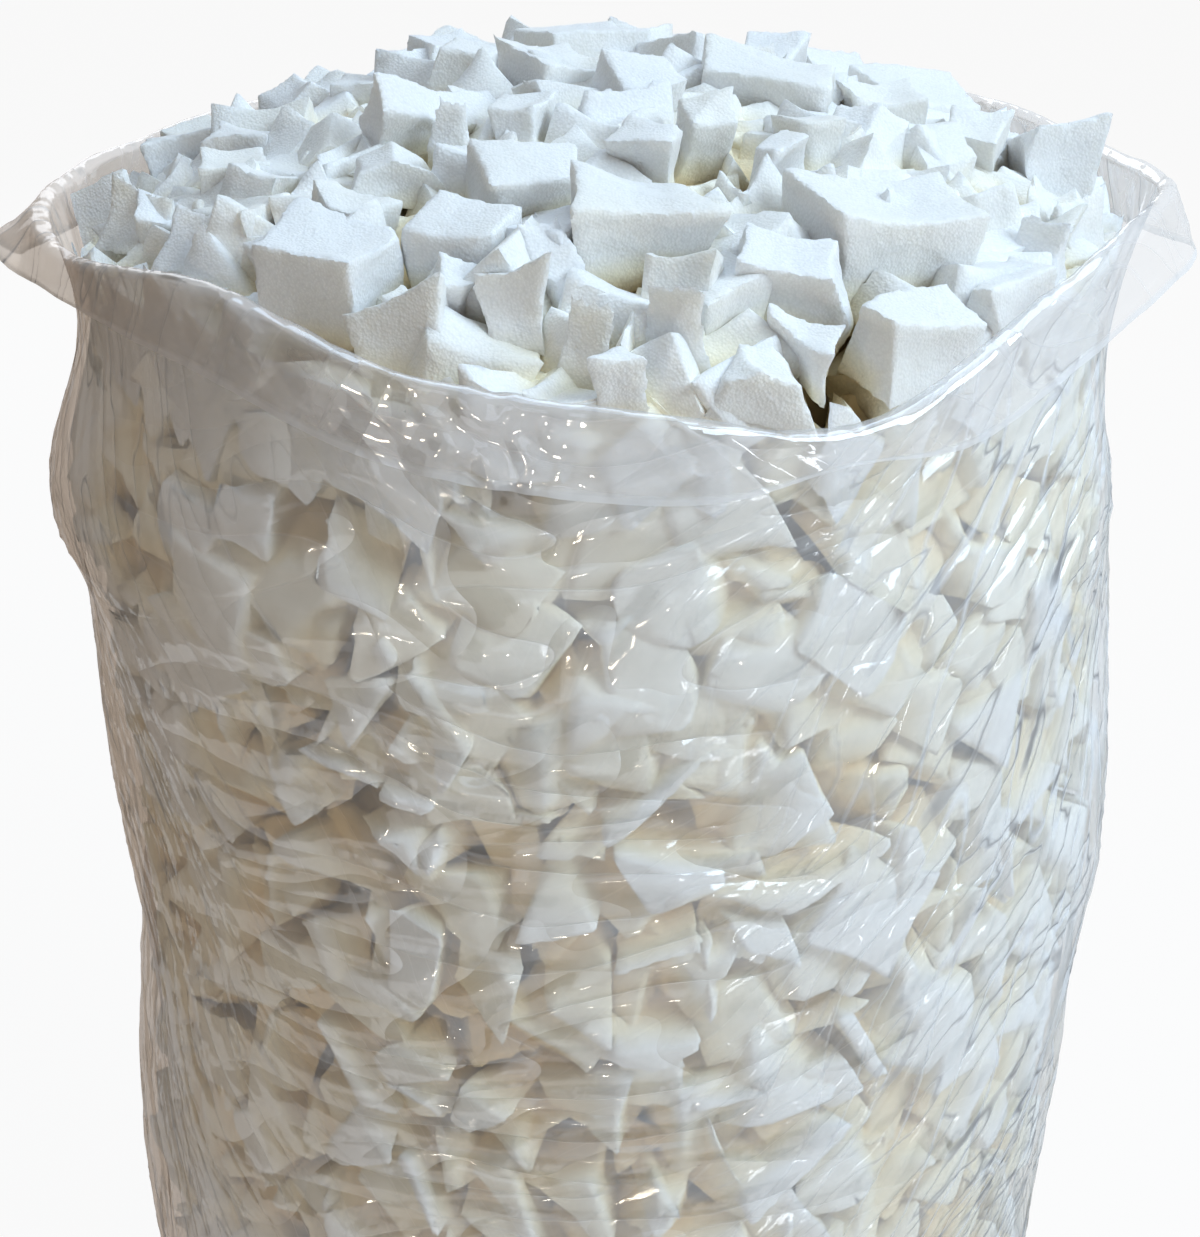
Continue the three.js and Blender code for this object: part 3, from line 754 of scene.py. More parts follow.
# %% Repeat the solid's recipe
PIECE_SHARE = 0.162
BED_COUNT = 36
BED_REACH = 0.95
BED_DEPTH = 15.0
BED_PLAY = 0.3
BED_GAP = 2.0
BED_CORNER_PLAY = 0.16
BED_FORMS = ("block", "tapered", "wedge", "block")
WALL_COUNT = 120
WALL_SHARE = 1.95
WALL_SUNK = 0.4
WALL_FACE_BACK = 3.0
WALL_FORMS = ("block", "tapered", "block", "wedge", "block")
GOLDEN_ANGLE = math.pi * (3 - math.sqrt(5))
PIECE_SIZE = PIECE_SHARE * MOUTH_RADIUS
WORD = 0xFFFFFFFF
HEAP_STREAM = 29
HEAP_SEED = 301
WALL_STREAM = 53
WALL_SEED = 401


def number_stream(seed):
    """Repeatable numbers from 0 to 1, made with 32-bit words."""
    state = seed
    while True:
        state = (state + 0x6D2B79F5) & WORD
        mixed = ((state ^ (state >> 15)) * (1 | state)) & WORD
        mixed = ((mixed + (mixed ^ (mixed >> 7)) * (61 | mixed)) ^ mixed) & WORD
        yield ((mixed ^ (mixed >> 14)) & WORD) / (WORD + 1)


def bed_piece(form, size, turn, middle, seed, planes=()):
    """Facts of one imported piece. Its planes are outward arrows, each with how far it reaches along them."""
    stream = number_stream(seed)
    matrix = np.array(Euler(turn, "ZYX").to_matrix())
    corners = []
    for corner in FORMS[form]:
        play = [1 + BED_CORNER_PLAY * (2 * next(stream) - 1) for _ in corner]
        place = [share * extent / 2 * stretch for share, extent, stretch in zip(corner, size, play)]
        corners.append(matrix @ np.array(place) + middle)
    half = math.hypot(*size) / 2
    return {"corners": corners, "middle": middle, "half": half, "planes": list(planes), "seed": seed}


def heap_bed():
    """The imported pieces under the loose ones."""
    stream = number_stream(HEAP_STREAM)
    pieces = []
    for index in range(BED_COUNT):
        bearing = index * GOLDEN_ANGLE
        reach = MOUTH_RADIUS * BED_REACH * math.sqrt((index + 0.5) / BED_COUNT)
        x, y = reach * math.cos(bearing), reach * math.sin(bearing)
        size = [PIECE_SIZE * (1 + BED_PLAY * (2 * next(stream) - 1)) for _ in range(3)]
        turn = (next(stream) - 0.5, next(stream) - 0.5, 2 * math.pi * next(stream))
        middle = np.array((x, y, heap_at(x, y) - BED_DEPTH))
        form = BED_FORMS[index % len(BED_FORMS)]
        pieces.append(bed_piece(form, size, turn, middle, HEAP_SEED + index))
    return pieces


def wall_bed():
    """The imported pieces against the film. Each has a plane that keeps its face behind the film."""
    stream = number_stream(WALL_STREAM)
    pieces = []
    top = SHOULDER - PIECE_SIZE / 2
    for index in range(WALL_COUNT):
        bearing = index * GOLDEN_ANGLE
        height = BASE_ROUND + (top - BASE_ROUND) * (index + 0.5) / WALL_COUNT
        size = [WALL_SHARE * PIECE_SIZE * (1 + BED_PLAY * (2 * next(stream) - 1)) for _ in range(3)]
        turn = tuple(2 * math.pi * next(stream) for _ in range(3))
        film_reach = BODY_RADIUS + float(bulge_at(bearing, height))
        outward = np.array((math.cos(bearing), math.sin(bearing), 0.0))
        line = np.array((float(sway(height)), 0.0, height))
        middle = line + outward * (film_reach - WALL_SUNK * max(size))
        flat = (outward, line @ outward + film_reach - FOLD_DEPTH - WALL_FACE_BACK)
        form = WALL_FORMS[index % len(WALL_FORMS)]
        pieces.append(bed_piece(form, size, turn, middle, WALL_SEED + index, [flat]))
    return pieces


def press_together(pieces):
    """Gives each piece a plane towards each neighbour."""
    for number, first in enumerate(pieces):
        for second in pieces[number + 1 :]:
            line = second["middle"] - first["middle"]
            distance = np.linalg.norm(line)
            if distance > first["half"] + second["half"] + BED_GAP:
                continue
            line = line / distance
            meeting = (distance + (first["half"] ** 2 - second["half"] ** 2) / distance) / 2
            plane = first["middle"] @ line + meeting
            first["planes"].append((line, plane - BED_GAP / 2))
            second["planes"].append((-line, -plane - BED_GAP / 2))


wall_bed_pieces = wall_bed()
heap_bed_pieces = heap_bed()
press_together(wall_bed_pieces + heap_bed_pieces)
print("packed pieces:", len(wall_bed_pieces), "against the film and", len(heap_bed_pieces), "in the heap")


# %% [markdown]
# The solid's pieces against the film are larger than most offcuts that show there, so each is split into
# four by planes that cross its outer face. A piece is a hull until then. Cutting it back to all its
# planes and shaping what is left as an offcut comes last.

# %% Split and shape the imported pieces
SPLIT_GAP = 2.2
SPLIT_PLAY = 8.0
SPLIT_LEAN = 0.35
SPLIT_TURN = 0.6
LEAST_OFFCUT = 9.0
SEED_STEP = 1000


def split_up(piece):
    """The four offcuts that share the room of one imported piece, parted by planes across its outer face."""
    rng = random.Random(piece["seed"])
    bearing = math.atan2(piece["middle"][1], piece["middle"][0])
    outward = np.array((math.cos(bearing), math.sin(bearing), 0.0))
    sideways = np.array((-math.sin(bearing), math.cos(bearing), 0.0))
    upward = np.array((0.0, 0.0, 1.0))

    def halves(planes, angle):
        """The planes of both halves of a room, parted across an angle."""
        lean = outward * rng.uniform(-SPLIT_LEAN, SPLIT_LEAN)
        arrow = sideways * math.cos(angle) + upward * math.sin(angle) + lean
        arrow = arrow / np.linalg.norm(arrow)
        reach = piece["middle"] @ arrow + rng.uniform(-SPLIT_PLAY, SPLIT_PLAY)
        return [planes + [(arrow, reach - SPLIT_GAP / 2)], planes + [(-arrow, -reach - SPLIT_GAP / 2)]]

    angle = rng.uniform(0, math.pi)
    rooms = []
    for half in halves(piece["planes"], angle):
        rooms += halves(half, angle + math.pi / 2 + rng.uniform(-SPLIT_TURN, SPLIT_TURN))
    return [
        {**piece, "planes": planes, "seed": piece["seed"] + SEED_STEP * number}
        for number, planes in enumerate(rooms)
    ]


def pressed_hull(piece):
    """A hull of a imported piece, cut back to each of its planes, in metres in the frame."""
    builder = bmesh.new()
    for corner in piece["corners"]:
        builder.verts.new(corner)
    bmesh.ops.convex_hull(builder, input=builder.verts)
    for arrow, reach in piece["planes"]:
        parts = builder.verts[:] + builder.edges[:] + builder.faces[:]
        bmesh.ops.bisect_plane(builder, geom=parts, plane_co=arrow * reach, plane_no=arrow, clear_outer=True)
    kept = np.array([vertex.co for vertex in builder.verts])
    builder.free()
    if len(kept) < 4 or np.ptp(kept, axis=0).min() < LEAST_OFFCUT:
        return None
    return hull_of(to_frame(kept))


def shaped_bed(pieces, voxel, keep, soften, limit):
    """Points in millimetres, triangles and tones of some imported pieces, each shaped as an offcut."""
    all_points, all_faces, tones = [], [], []
    count = 0
    for piece in pieces:
        hull = pressed_hull(piece)
        if hull is None:
            continue
        mesh = shape_offcut(hull, voxel, keep, piece["seed"], soften)
        bpy.data.meshes.remove(hull)
        mesh.calc_loop_triangles()
        faces = np.array([triangle.vertices for triangle in mesh.loop_triangles])
        points = limit(from_frame(mesh_points(mesh)))
        bpy.data.meshes.remove(mesh)
        all_points.append(points)
        all_faces.append(faces + count)
        tones.append(np.full(len(points), random.Random(piece["seed"]).random()))
        count += len(points)
    return np.concatenate(all_points), np.concatenate(all_faces), np.concatenate(tones)


# %% [markdown]
# ### Offcuts between the loose ones
#
# Seen from above, the heap has no bare ground: small offcuts fill the gaps. Candidate places lie on a
# sunflower spiral, which covers a disc evenly. A ray is dropped at each, and where it meets no loose
# offcut near the heap's surface, a small one is set there.

# %% Fill the gaps in the heap
FILLER_SPOTS = 640
FILLER_REACH = 0.965
FILLER_SIZES = (24.0, 46.0)
FILLER_LEAN = 1.3
FILLER_CLEAR = 3.0
RAY_START = 1.0
NECK_ROOM = 5.0
FILLER_SUNK = (0.3, 0.8)
FILLER_UNDER = 1.0


def loose_surface():
    """A search tree over all the loose offcuts."""
    points, faces, count = [], [], 0
    for piece in loose_pieces:
        mesh = piece.data
        points.extend(vertex.co.copy() for vertex in mesh.vertices)
        faces.extend([index + count for index in face.vertices] for face in mesh.polygons)
        count += len(mesh.vertices)
    return BVHTree.FromPolygons(points, faces)


loose_tree = loose_surface()


def loose_top(x, y):
    """Height of the loose offcuts over a place of the plan, in millimetres, or zero where there is none."""
    start = Vector(to_frame(np.array((x, y, 0.0))))
    start.z = RAY_START
    hit = loose_tree.ray_cast(start, Vector((0.0, 0.0, -1.0)))[0]
    return hit.z / MM if hit else 0.0


filler_rows = []
for number in range(FILLER_SPOTS):
    bearing = number * GOLDEN_ANGLE
    reach = FILLER_REACH * MOUTH_RADIUS * math.sqrt((number + 0.5) / FILLER_SPOTS)
    x = reach * math.cos(bearing)
    y = reach * math.sin(bearing)
    surface = heap_at(x, y)
    if loose_top(x, y) > surface - FILLER_CLEAR:
        continue
    draw = random.Random(number)
    sizes = [draw.uniform(*FILLER_SIZES) for _ in range(3)]
    sunk = sizes[2] * draw.uniform(*FILLER_SUNK) + FILLER_UNDER
    filler_rows.append(((x, y, surface - sunk), sizes, any_turn(draw, FILLER_LEAN), number + FILLER_SPOTS))


def inside_mouth(points):
    """Points pressed in to where the film's neck leaves room for them."""
    bearing = np.arctan2(points[:, 1], points[:, 0])
    radius = np.hypot(points[:, 0], points[:, 1])
    room = wall_radius(bearing, np.clip(points[:, 2], 0, RIM)) - NECK_ROOM
    factor = np.minimum(1.0, room / np.maximum(radius, 1.0))
    return points * np.stack([factor, factor, np.ones(len(points))], axis=1)


def add_foam(name, parts, finish):
    """A foam piece from points, triangles and tones."""
    points, faces, tones = parts
    mesh = foam_mesh(name, points, faces, tones, depth_in_heap(points), sharp=finish is open_foam)
    piece = add_piece(name, mesh, finish)
    print(name, "has", len(faces), "triangles")
    return piece


add_foam("heap_bed", shaped_bed(heap_bed_pieces, 0.0019, 0.19, 1, inside_mouth), open_foam)
add_foam("heap_filler", set_down(fine_tray, filler_rows, inside_mouth), open_foam)
print("filler offcuts:", len(filler_rows))

# %% [markdown]
# ### Offcuts against the film
#
# Through the film one sees the faces of packed offcuts, pressed flat where they touch it, with ochre gaps
# between. The split pieces of the solid come first, and their outer faces are eased out until they follow
# the film. Smaller offcuts from the plain tray lie between and behind them, set back so that the gaps
# stay deep, and more of them fill the neck, where the solid has no pieces of its own.

# %% Pack offcuts against the film
WALL_GAP = (1.2, 5.0)
EASE_DEPTH = 10.0
EASE_KEEP = 0.3
BETWEEN_COUNT = 640
BETWEEN_INSET = (2.0, 15.0)
BETWEEN_SIZES = (24.0, 52.0)
BETWEEN_LOW = 18.0
BETWEEN_HIGH = 600.0
NECK_COUNT = 230
NECK_LOW = 572.0
NECK_HIGH = 700.0
NECK_INSET = (0.0, 5.0)
FRONT_LIMIT = 30.0
WALL_RANDOM = 83
SPIRAL_START = 1.3
OVER_BASE = 4.0


def behind_film(points, gap):
    """Points held back by a gap behind the film, and over the base."""
    height = np.clip(points[:, 2], OVER_BASE, None)
    middle = sway(height)
    bearing = np.arctan2(points[:, 1], points[:, 0] - middle)
    radius = np.hypot(points[:, 0] - middle, points[:, 1])
    room = wall_radius(bearing, np.clip(height, 0, RIM)) - gap
    held = np.minimum(radius, room)
    return np.stack([held * np.cos(bearing) + middle, held * np.sin(bearing), height], axis=1)


def eased_out(points, gap):
    """Points near the film moved out, so that a flat face follows it."""
    middle = sway(points[:, 2])
    bearing = np.arctan2(points[:, 1], points[:, 0] - middle)
    radius = np.hypot(points[:, 0] - middle, points[:, 1])
    room = wall_radius(bearing, np.clip(points[:, 2], 0, RIM)) - gap
    behind = np.clip(room - radius, 0.0, None)
    moved = np.clip(EASE_DEPTH - behind, 0.0, EASE_DEPTH) / EASE_DEPTH
    radius = radius + (1 - EASE_KEEP) * behind * np.minimum(1.0, 2 * moved)
    eased = np.stack([radius * np.cos(bearing) + middle, radius * np.sin(bearing), points[:, 2]], axis=1)
    return behind_film(eased, gap)


def between_rows(rng, count, low, high, insets):
    """Rows of smaller offcuts, wound up the wall by a spiral that covers it evenly."""
    rows = []
    for number in range(count):
        bearing = number * GOLDEN_ANGLE + SPIRAL_START
        height = low + (high - low) * (number + 0.5) / count
        extent = [rng.uniform(*BETWEEN_SIZES) for _ in range(3)]
        inset = WALL_SUNK * max(extent) + rng.uniform(*insets)
        radius = float(wall_radius(np.array(bearing), np.array(height))) - inset
        middle = (radius * math.cos(bearing) + float(sway(height)), radius * math.sin(bearing), height)
        rows.append((middle, extent, any_turn(rng), number))
    return rows


rng = random.Random(WALL_RANDOM)


def at_the_wall(points):
    """One offcut's points, eased out to its own small gap behind the film."""
    return eased_out(points, rng.uniform(*WALL_GAP))


def well_behind(points):
    """One smaller offcut's points, held back by a larger gap."""
    return behind_film(points, rng.uniform(*WALL_GAP) + rng.uniform(*BETWEEN_INSET) / 2)


wall_offcuts = [offcut for piece in wall_bed_pieces for offcut in split_up(piece)]
front_bed = [piece for piece in wall_offcuts if piece["middle"][1] < FRONT_LIMIT]
back_bed = [piece for piece in wall_offcuts if piece["middle"][1] >= FRONT_LIMIT]
rows = between_rows(rng, BETWEEN_COUNT, BETWEEN_LOW, BETWEEN_HIGH, BETWEEN_INSET)
rows += between_rows(rng, NECK_COUNT, NECK_LOW, NECK_HIGH, NECK_INSET)
front_rows = [row for row in rows if row[0][1] < FRONT_LIMIT]
back_rows = [row for row in rows if row[0][1] >= FRONT_LIMIT]
packed_front = add_foam("packed_front", shaped_bed(front_bed, 0.0020, 0.12, 3, at_the_wall), pressed_foam)
add_foam("packed_back", shaped_bed(back_bed, 0.0028, 0.12, 2, at_the_wall), pressed_foam)
add_foam("between_front", set_down(plain_tray, front_rows, well_behind), pressed_foam)
add_foam("between_back", set_down(plain_tray, back_rows, well_behind), pressed_foam)
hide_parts("packed_foam")

# %% [markdown]
# ### The dark middle
#
# No light comes from the middle of the pack. A plain core, domed under the heap and well behind the film,
# stops views through the gaps. It carries the deepest painted shade, ochre all over, because all of it
# lies deep.

# %% Make the core
CORE_INSET = 50.0
CORE_COLUMNS = 96
CORE_ROWS = 40
CORE_DOME = 12
CORE_SUNK = 21.0
CORE_LOW = 8.0
CORE_BUMP = 5.0
CORE_PITCH = 24.0


def core_mesh():
    """Rings up the wall and over the dome, closed at both ends."""
    bearing = np.linspace(0, 2 * math.pi, CORE_COLUMNS, endpoint=False)
    rings = []
    for height in np.linspace(CORE_LOW, HEAP_BASE - CORE_SUNK, CORE_ROWS):
        level = np.full(CORE_COLUMNS, height)
        radius = wall_radius(bearing, level) - CORE_INSET
        rings.append(np.stack([radius * np.cos(bearing), radius * np.sin(bearing), level], axis=1))
    edge = rings[-1]
    for step in range(1, CORE_DOME):
        x, y = edge[:, 0] * (1 - step / CORE_DOME), edge[:, 1] * (1 - step / CORE_DOME)
        rings.append(np.stack([x, y, heap_at(x, y) - CORE_SUNK], axis=1))
    points = np.concatenate(rings)
    points = points + CORE_BUMP * drift_at(points, CORE_PITCH, 5)
    points[:, 2] = np.maximum(points[:, 2], OVER_BASE)
    faces = grid_faces(len(rings), CORE_COLUMNS)
    faces.append(tuple(reversed(range(CORE_COLUMNS))))
    faces.append(tuple(range((len(rings) - 1) * CORE_COLUMNS, len(rings) * CORE_COLUMNS)))
    mesh = bpy.data.meshes.new("packed_core")
    mesh.from_pydata(to_frame(points), [], faces)
    # Depth one everywhere, so the core takes the deepest painted shade.
    paint_depth(mesh, np.ones(len(points)), np.ones(len(points)))
    return mesh


core = add_piece("packed_core", core_mesh(), pressed_foam)
print("core faces:", len(core.data.polygons))

# %% [markdown]
# ## The film
#
# The sack is one sheet of thin polythene, so it is one open surface without thickness. Its grid follows
# the formula, with columns closer together at the front. Wrinkles are then raised along the surface's own
# normals: pillows where offcuts press, steep streaks at the sides where the tube is gathered, level
# creases across the front, and crumples along the cuff. A cloth simulation could make such wrinkles, but
# not in these places, so they are laid by noise.

# %% Grid of the film
FRONT_COLUMNS = 280
BACK_COLUMNS = 120
front_bearings = np.linspace(180.0, 360.0, FRONT_COLUMNS, endpoint=False)
back_bearings = np.linspace(0.0, 180.0, BACK_COLUMNS, endpoint=False)
BEARINGS = np.radians(np.concatenate([back_bearings, front_bearings]))
COLUMNS = len(BEARINGS)
TAB_BEARING = 189.0
TAB_HALF = 4.5
TAB_EDGE = 1.6
TAB_SPLAY = 34.0


def tab_share(bearing):
    """One across the left ear's square tab, falling off steeply at its two sides."""
    return 1 / (1 + np.exp((bearing_gap(bearing, TAB_BEARING) - TAB_HALF) / (TAB_EDGE / 4)))


def film_grid():
    """Radius and height of each row of the film, from near the base's middle to the cuff's free edge."""
    even = np.ones(COLUMNS)
    spokes = np.linspace(0.06, 1, 9)
    rows = [(share * (BODY_RADIUS - BASE_ROUND) * even, FILM_WALL / 2 * even) for share in spokes]
    for angle in np.linspace(0, math.pi / 2, 13)[1:]:
        radius = BODY_RADIUS - BASE_ROUND * (1 - math.sin(angle))
        rows.append((radius * even, (FILM_WALL / 2 + BASE_ROUND * (1 - math.cos(angle))) * even))
    heights = np.concatenate([np.linspace(BASE_ROUND, 200.0, 26)[1:], np.linspace(200.0, SHOULDER, 112)[1:]])
    rows += [(BODY_RADIUS + fullness(BEARINGS, height * even), height * even) for height in heights]
    top = rim_at(BEARINGS) - CUFF_TURN
    for share in np.linspace(0, 1, 33)[1:]:
        rows.append((neck_radius(BEARINGS, share), SHOULDER + (top - SHOULDER) * share))
    ear = bell(from_crease(BEARINGS), EAR_SPREAD)
    splay = np.radians(CUFF_SPLAY + EAR_SPLAY * ear + TAB_SPLAY * tab_share(BEARINGS))
    for step in np.linspace(0, 1, 10)[1:]:
        angle = (math.pi - splay) * step
        rows.append((mouth_at(BEARINGS) + CUFF_TURN * (1 - np.cos(angle)), top + CUFF_TURN * np.sin(angle)))
    edge_radius, edge_height = rows[-1]
    for share in np.linspace(0, 1, 15)[1:]:
        run = cuff_at(BEARINGS) * share
        rows.append((edge_radius + run * np.sin(splay), edge_height - run * np.cos(splay)))
    return np.array([row[0] for row in rows]), np.array([row[1] for row in rows])


film_radius, film_height = film_grid()
ROWS = len(film_radius)
film_x = film_radius * np.cos(BEARINGS) + sway(film_height)
film_y = film_radius * np.sin(BEARINGS)
film_points = np.stack([film_x, film_y, film_height], axis=2)
print("film grid:", ROWS, "rows of", COLUMNS, "points")

# %% [markdown]
# Wrinkles are placed by bearing and by the length run along the film from the base. A streak is a noise
# that is long in one direction and short in the other, wound round the sack so that it has no seam, with
# its zero line raised to a ridge. Weights choose the kind of streak for each side of the sack. One star
# of sharp arms under the cuff marks the point where the film was pinched. The next three cells make the
# tools, then the weights, and then the sum.

# %% Tools for wrinkles
steps_up = np.linalg.norm(np.diff(film_points, axis=0), axis=2)
film_run = np.concatenate([np.zeros((1, COLUMNS)), np.cumsum(steps_up, axis=0)])
bearing_grid = np.broadcast_to(BEARINGS, film_run.shape)


def wound(lean, across, along, slope=0.0):
    """Places for a noise that winds round the sack: lean tilts upright streaks, slope tilts level ones."""
    turned = bearing_grid - lean * film_run / BODY_RADIUS
    level = film_run - slope * BODY_RADIUS * np.sin(bearing_grid - math.radians(270.0))
    return np.stack(
        [BODY_RADIUS * np.cos(turned) / across, BODY_RADIUS * np.sin(turned) / across, level / along], axis=2
    ).reshape(-1, 3)


def ridges(places, width, seed):
    """One along the lines where the noise is zero, falling to zero beside them."""
    values = noise_at(places, 1.0, seed).reshape(film_run.shape)
    return np.maximum(0.0, 1.0 - np.abs(values) / width)


def pillows(pitch, seed):
    """Soft hills and hollows, about pitch apart."""
    return noise_at(wound(0.0, 1.0, 1.0), pitch, seed).reshape(film_run.shape)


def side_weight(front_at, back_share, back_at):
    """One beside a bearing of the front, and a share of one beside a bearing of the back."""
    ahead = bell(bearing_gap(bearing_grid, front_at), SIDE_SPREAD)
    behind = bell(bearing_gap(bearing_grid, back_at), SIDE_BACK_SPREAD)
    return np.minimum(1, ahead + back_share * behind)


# %% The star crease and the weights of the sides
STAR_BEARING = 292.4
STAR_HEIGHT = 663.0
STAR_ARMS = (97.0, 52.0, 318.0, 176.0, 8.0, 262.0)
STAR_REACH = 30.0
STAR_WIDTH = 3.6
STAR_RISE = 3.2
SIDE_SPREAD = 36.0
SIDE_BACK_SPREAD = 48.0
BACK_SPREAD = 62.0
CUFF_ROWS = 23
HEM_ROWS = 2


def star_crease():
    """Sharp arms that run out from the point where the film was pinched, under the cuff."""
    sideways = (np.degrees(bearing_grid) - STAR_BEARING + 180.0) % 360.0 - 180.0
    across = BODY_RADIUS * np.radians(sideways)
    upward = film_height - STAR_HEIGHT
    reach = np.hypot(across, upward)
    heading = np.arctan2(upward, across)
    arms = np.zeros(film_run.shape)
    for arm in np.radians(STAR_ARMS):
        aside = reach * np.abs((heading - arm + math.pi) % (2 * math.pi) - math.pi)
        arms = np.maximum(arms, 1 - aside / STAR_WIDTH)
    return arms * np.exp(-reach / STAR_REACH) * (1 - on_cuff)


right_side = side_weight(front_at=328.0, back_share=0.8, back_at=45.0)
left_side = side_weight(front_at=204.0, back_share=0.25, back_at=135.0)
front_side = bell(bearing_gap(bearing_grid, 268.0), SIDE_SPREAD)
back_side = bell(bearing_gap(bearing_grid, 90.0), BACK_SPREAD)
up_the_wall = np.clip((film_height - 12.0) / 60.0, 0.0, 1.0)
on_cuff = np.zeros(film_run.shape)
on_cuff[-CUFF_ROWS:] = 1.0
on_hem = np.zeros(film_run.shape)
on_hem[-HEM_ROWS:] = 1.0
near_rim = np.clip((film_height - SHOULDER) / NECK_RISE, 0.0, 1.0)

# %% Raise the wrinkles
right_streaks = ridges(wound(0.45, 11.0, 95.0), 0.4, 1) + 0.6 * ridges(wound(0.3, 6.0, 60.0), 0.4, 2)
left_streaks = ridges(wound(-0.28, 11.0, 90.0), 0.4, 3) + 0.6 * ridges(wound(-0.16, 6.0, 60.0), 0.4, 4)
level_creases = ridges(wound(0.0, 62.0, 15.0, 0.14), 0.3, 5)
level_creases = level_creases + 0.5 * ridges(wound(0.0, 30.0, 8.0, 0.1), 0.3, 6)
cuff_creases = ridges(wound(0.0, 46.0, 7.0), 0.5, 7)
crumples = ridges(wound(0.0, 17.0, 17.0), 0.25, 8)

raised = 1.2 * right_side * right_streaks + 0.4 * left_side * left_streaks
raised += front_side * level_creases + 0.9 * back_side * (level_creases + right_streaks) / 2
raised += 0.5 * crumples
raised = raised * (1 - on_cuff) + on_cuff * (0.5 * cuff_creases + 0.35 * crumples)
raised = raised * (1 - 0.5 * near_rim * (1 - on_cuff))
raised += STAR_RISE * star_crease()
pressed = 2.4 * pillows(58.0, 9) + 0.9 * pillows(24.0, 10)
meeting = bell(bearing_gap(bearing_grid, 261.0), 5.0) * bell(film_height - 708.0, 26.0)
flutter = on_cuff * 1.7 * pillows(40.0, 11) + meeting * 5.0 * pillows(9.0, 12)
lift = up_the_wall * np.clip(raised - 0.6 + 0.55 * pressed * (1 - 0.7 * near_rim) + flutter, -1.5, 4.0)


def grid_normals(points):
    """Outward arrows of the grid, one for each point."""
    around = np.roll(points, -1, axis=1) - np.roll(points, 1, axis=1)
    upward = np.gradient(points, axis=0)
    arrows = np.cross(around, upward)
    return arrows / np.linalg.norm(arrows, axis=2, keepdims=True)


wrinkled = film_points + lift[:, :, None] * grid_normals(film_points)
print("wrinkles in millimetres: from", round(lift.min(), 2), "to", round(lift.max(), 2))

# %% [markdown]
# The grid becomes a mesh with a flat map of the film on it: metres round the tube, and metres along it.
# The material uses that map for wrinkles too fine for the grid. Soft noise lets the map wander, so that
# those wrinkles don't run dead straight.


# %% Make the film's mesh
FOLD_WANDER = 22.0
FOLD_WANDER_PITCH = 95.0


def film_mesh():
    """The wrinkled grid as one sheet, with its flat map and the values that the material reads."""
    points = to_frame(np.concatenate([wrinkled.reshape(-1, 3), [[0.0, 0.0, FILM_WALL / 2]]]))
    faces = grid_faces(ROWS, COLUMNS)
    centre = ROWS * COLUMNS
    faces += [(centre, (column + 1) % COLUMNS, column) for column in range(COLUMNS)]
    mesh = bpy.data.meshes.new("film")
    mesh.from_pydata(points, [], faces)
    around = np.append(BEARINGS, 2 * math.pi) * BODY_RADIUS
    wander = FOLD_WANDER * drift_at(wound(0.0, 1.0, 1.0), FOLD_WANDER_PITCH, 31).reshape(ROWS, COLUMNS, 3)
    wander = np.concatenate([wander, wander[:, :1]], axis=1)
    run = np.concatenate([film_run, film_run[:, :1]], axis=1)
    flat = np.stack([around + wander[:, :, 0], run + wander[:, :, 1]], axis=2) * MM
    corners = np.stack([flat[:-1, :-1], flat[:-1, 1:], flat[1:, 1:], flat[1:, :-1]], axis=2)
    base_corners = np.stack([flat[0, :-1], flat[0, 1:], flat[0, :-1]], axis=1)
    flat_map = mesh.uv_layers.new(name="flat_film")
    flat_map.data.foreach_set("uv", np.concatenate([corners.ravel(), base_corners.ravel()]))
    body = 1 - 0.8 * on_cuff
    sides = {"right_side": right_side * body, "left_side": left_side, "front_side": front_side * body}
    sides.update({"cuff": on_cuff, "hem": on_hem})
    for name, values in sides.items():
        set_values(mesh, name, np.append(values.ravel(), 0.0))
    set_values(mesh, "crease", np.append(np.clip(raised / 2.0, 0, 1).ravel(), 0.0))
    mesh.shade_smooth()
    return mesh


# %% [markdown]
# ## Film as a material
#
# Clear polythene lets most light through, mirrors a little of it, more at a flat angle, and is milky
# where it is creased, most of all beside the tube's two side creases. So the material mixes three
# shaders: Transparent, a clean mirror weighted by Fresnel, and a white haze. Glass with refraction would
# bend what lies behind, which film doesn't do. The finest folds are lines on the flat map of the film: a
# noise that is stretched along the folds crosses its middle value along thin lines, so its distance from
# that value makes a sharp crease for the bump.

# %% Fold lines on the flat film
film_paint, film_output = new_material("clear_film")
tree = film_paint.node_tree
flat_place = add_node(tree, "ShaderNodeUVMap", uv_map="flat_film").outputs["UV"]


def film_value(name):
    """One of the values that each point of the film carries."""
    return add_node(tree, "ShaderNodeAttribute", attribute_name=name).outputs["Fac"]


def fold_lines(turn, along, across, seed, detail=0.0):
    """Zero on thin lines, rising beside them. They run at a turn from level, and lie about across apart."""
    laid = add_node(tree, "ShaderNodeMapping", {"Vector": flat_place}, vector_type="TEXTURE")
    laid.inputs["Location"].default_value = (seed, seed, 0.0)
    laid.inputs["Rotation"].default_value = (0.0, 0.0, math.radians(turn))
    laid.inputs["Scale"].default_value = (along, across, 1.0)
    noise_values = {"Vector": laid.outputs[0], "Scale": 1.0, "Detail": detail}
    waves = add_node(tree, "ShaderNodeTexNoise", noise_values, noise_dimensions="2D")
    off = add_node(tree, "ShaderNodeMath", {0: waves.outputs["Fac"], 1: 0.5}, operation="SUBTRACT")
    return add_node(tree, "ShaderNodeMath", {0: off.outputs[0]}, operation="ABSOLUTE").outputs[0]


def weighted(value, weight):
    """A value times a weight."""
    return add_node(tree, "ShaderNodeMath", {0: value, 1: weight}, operation="MULTIPLY").outputs[0]


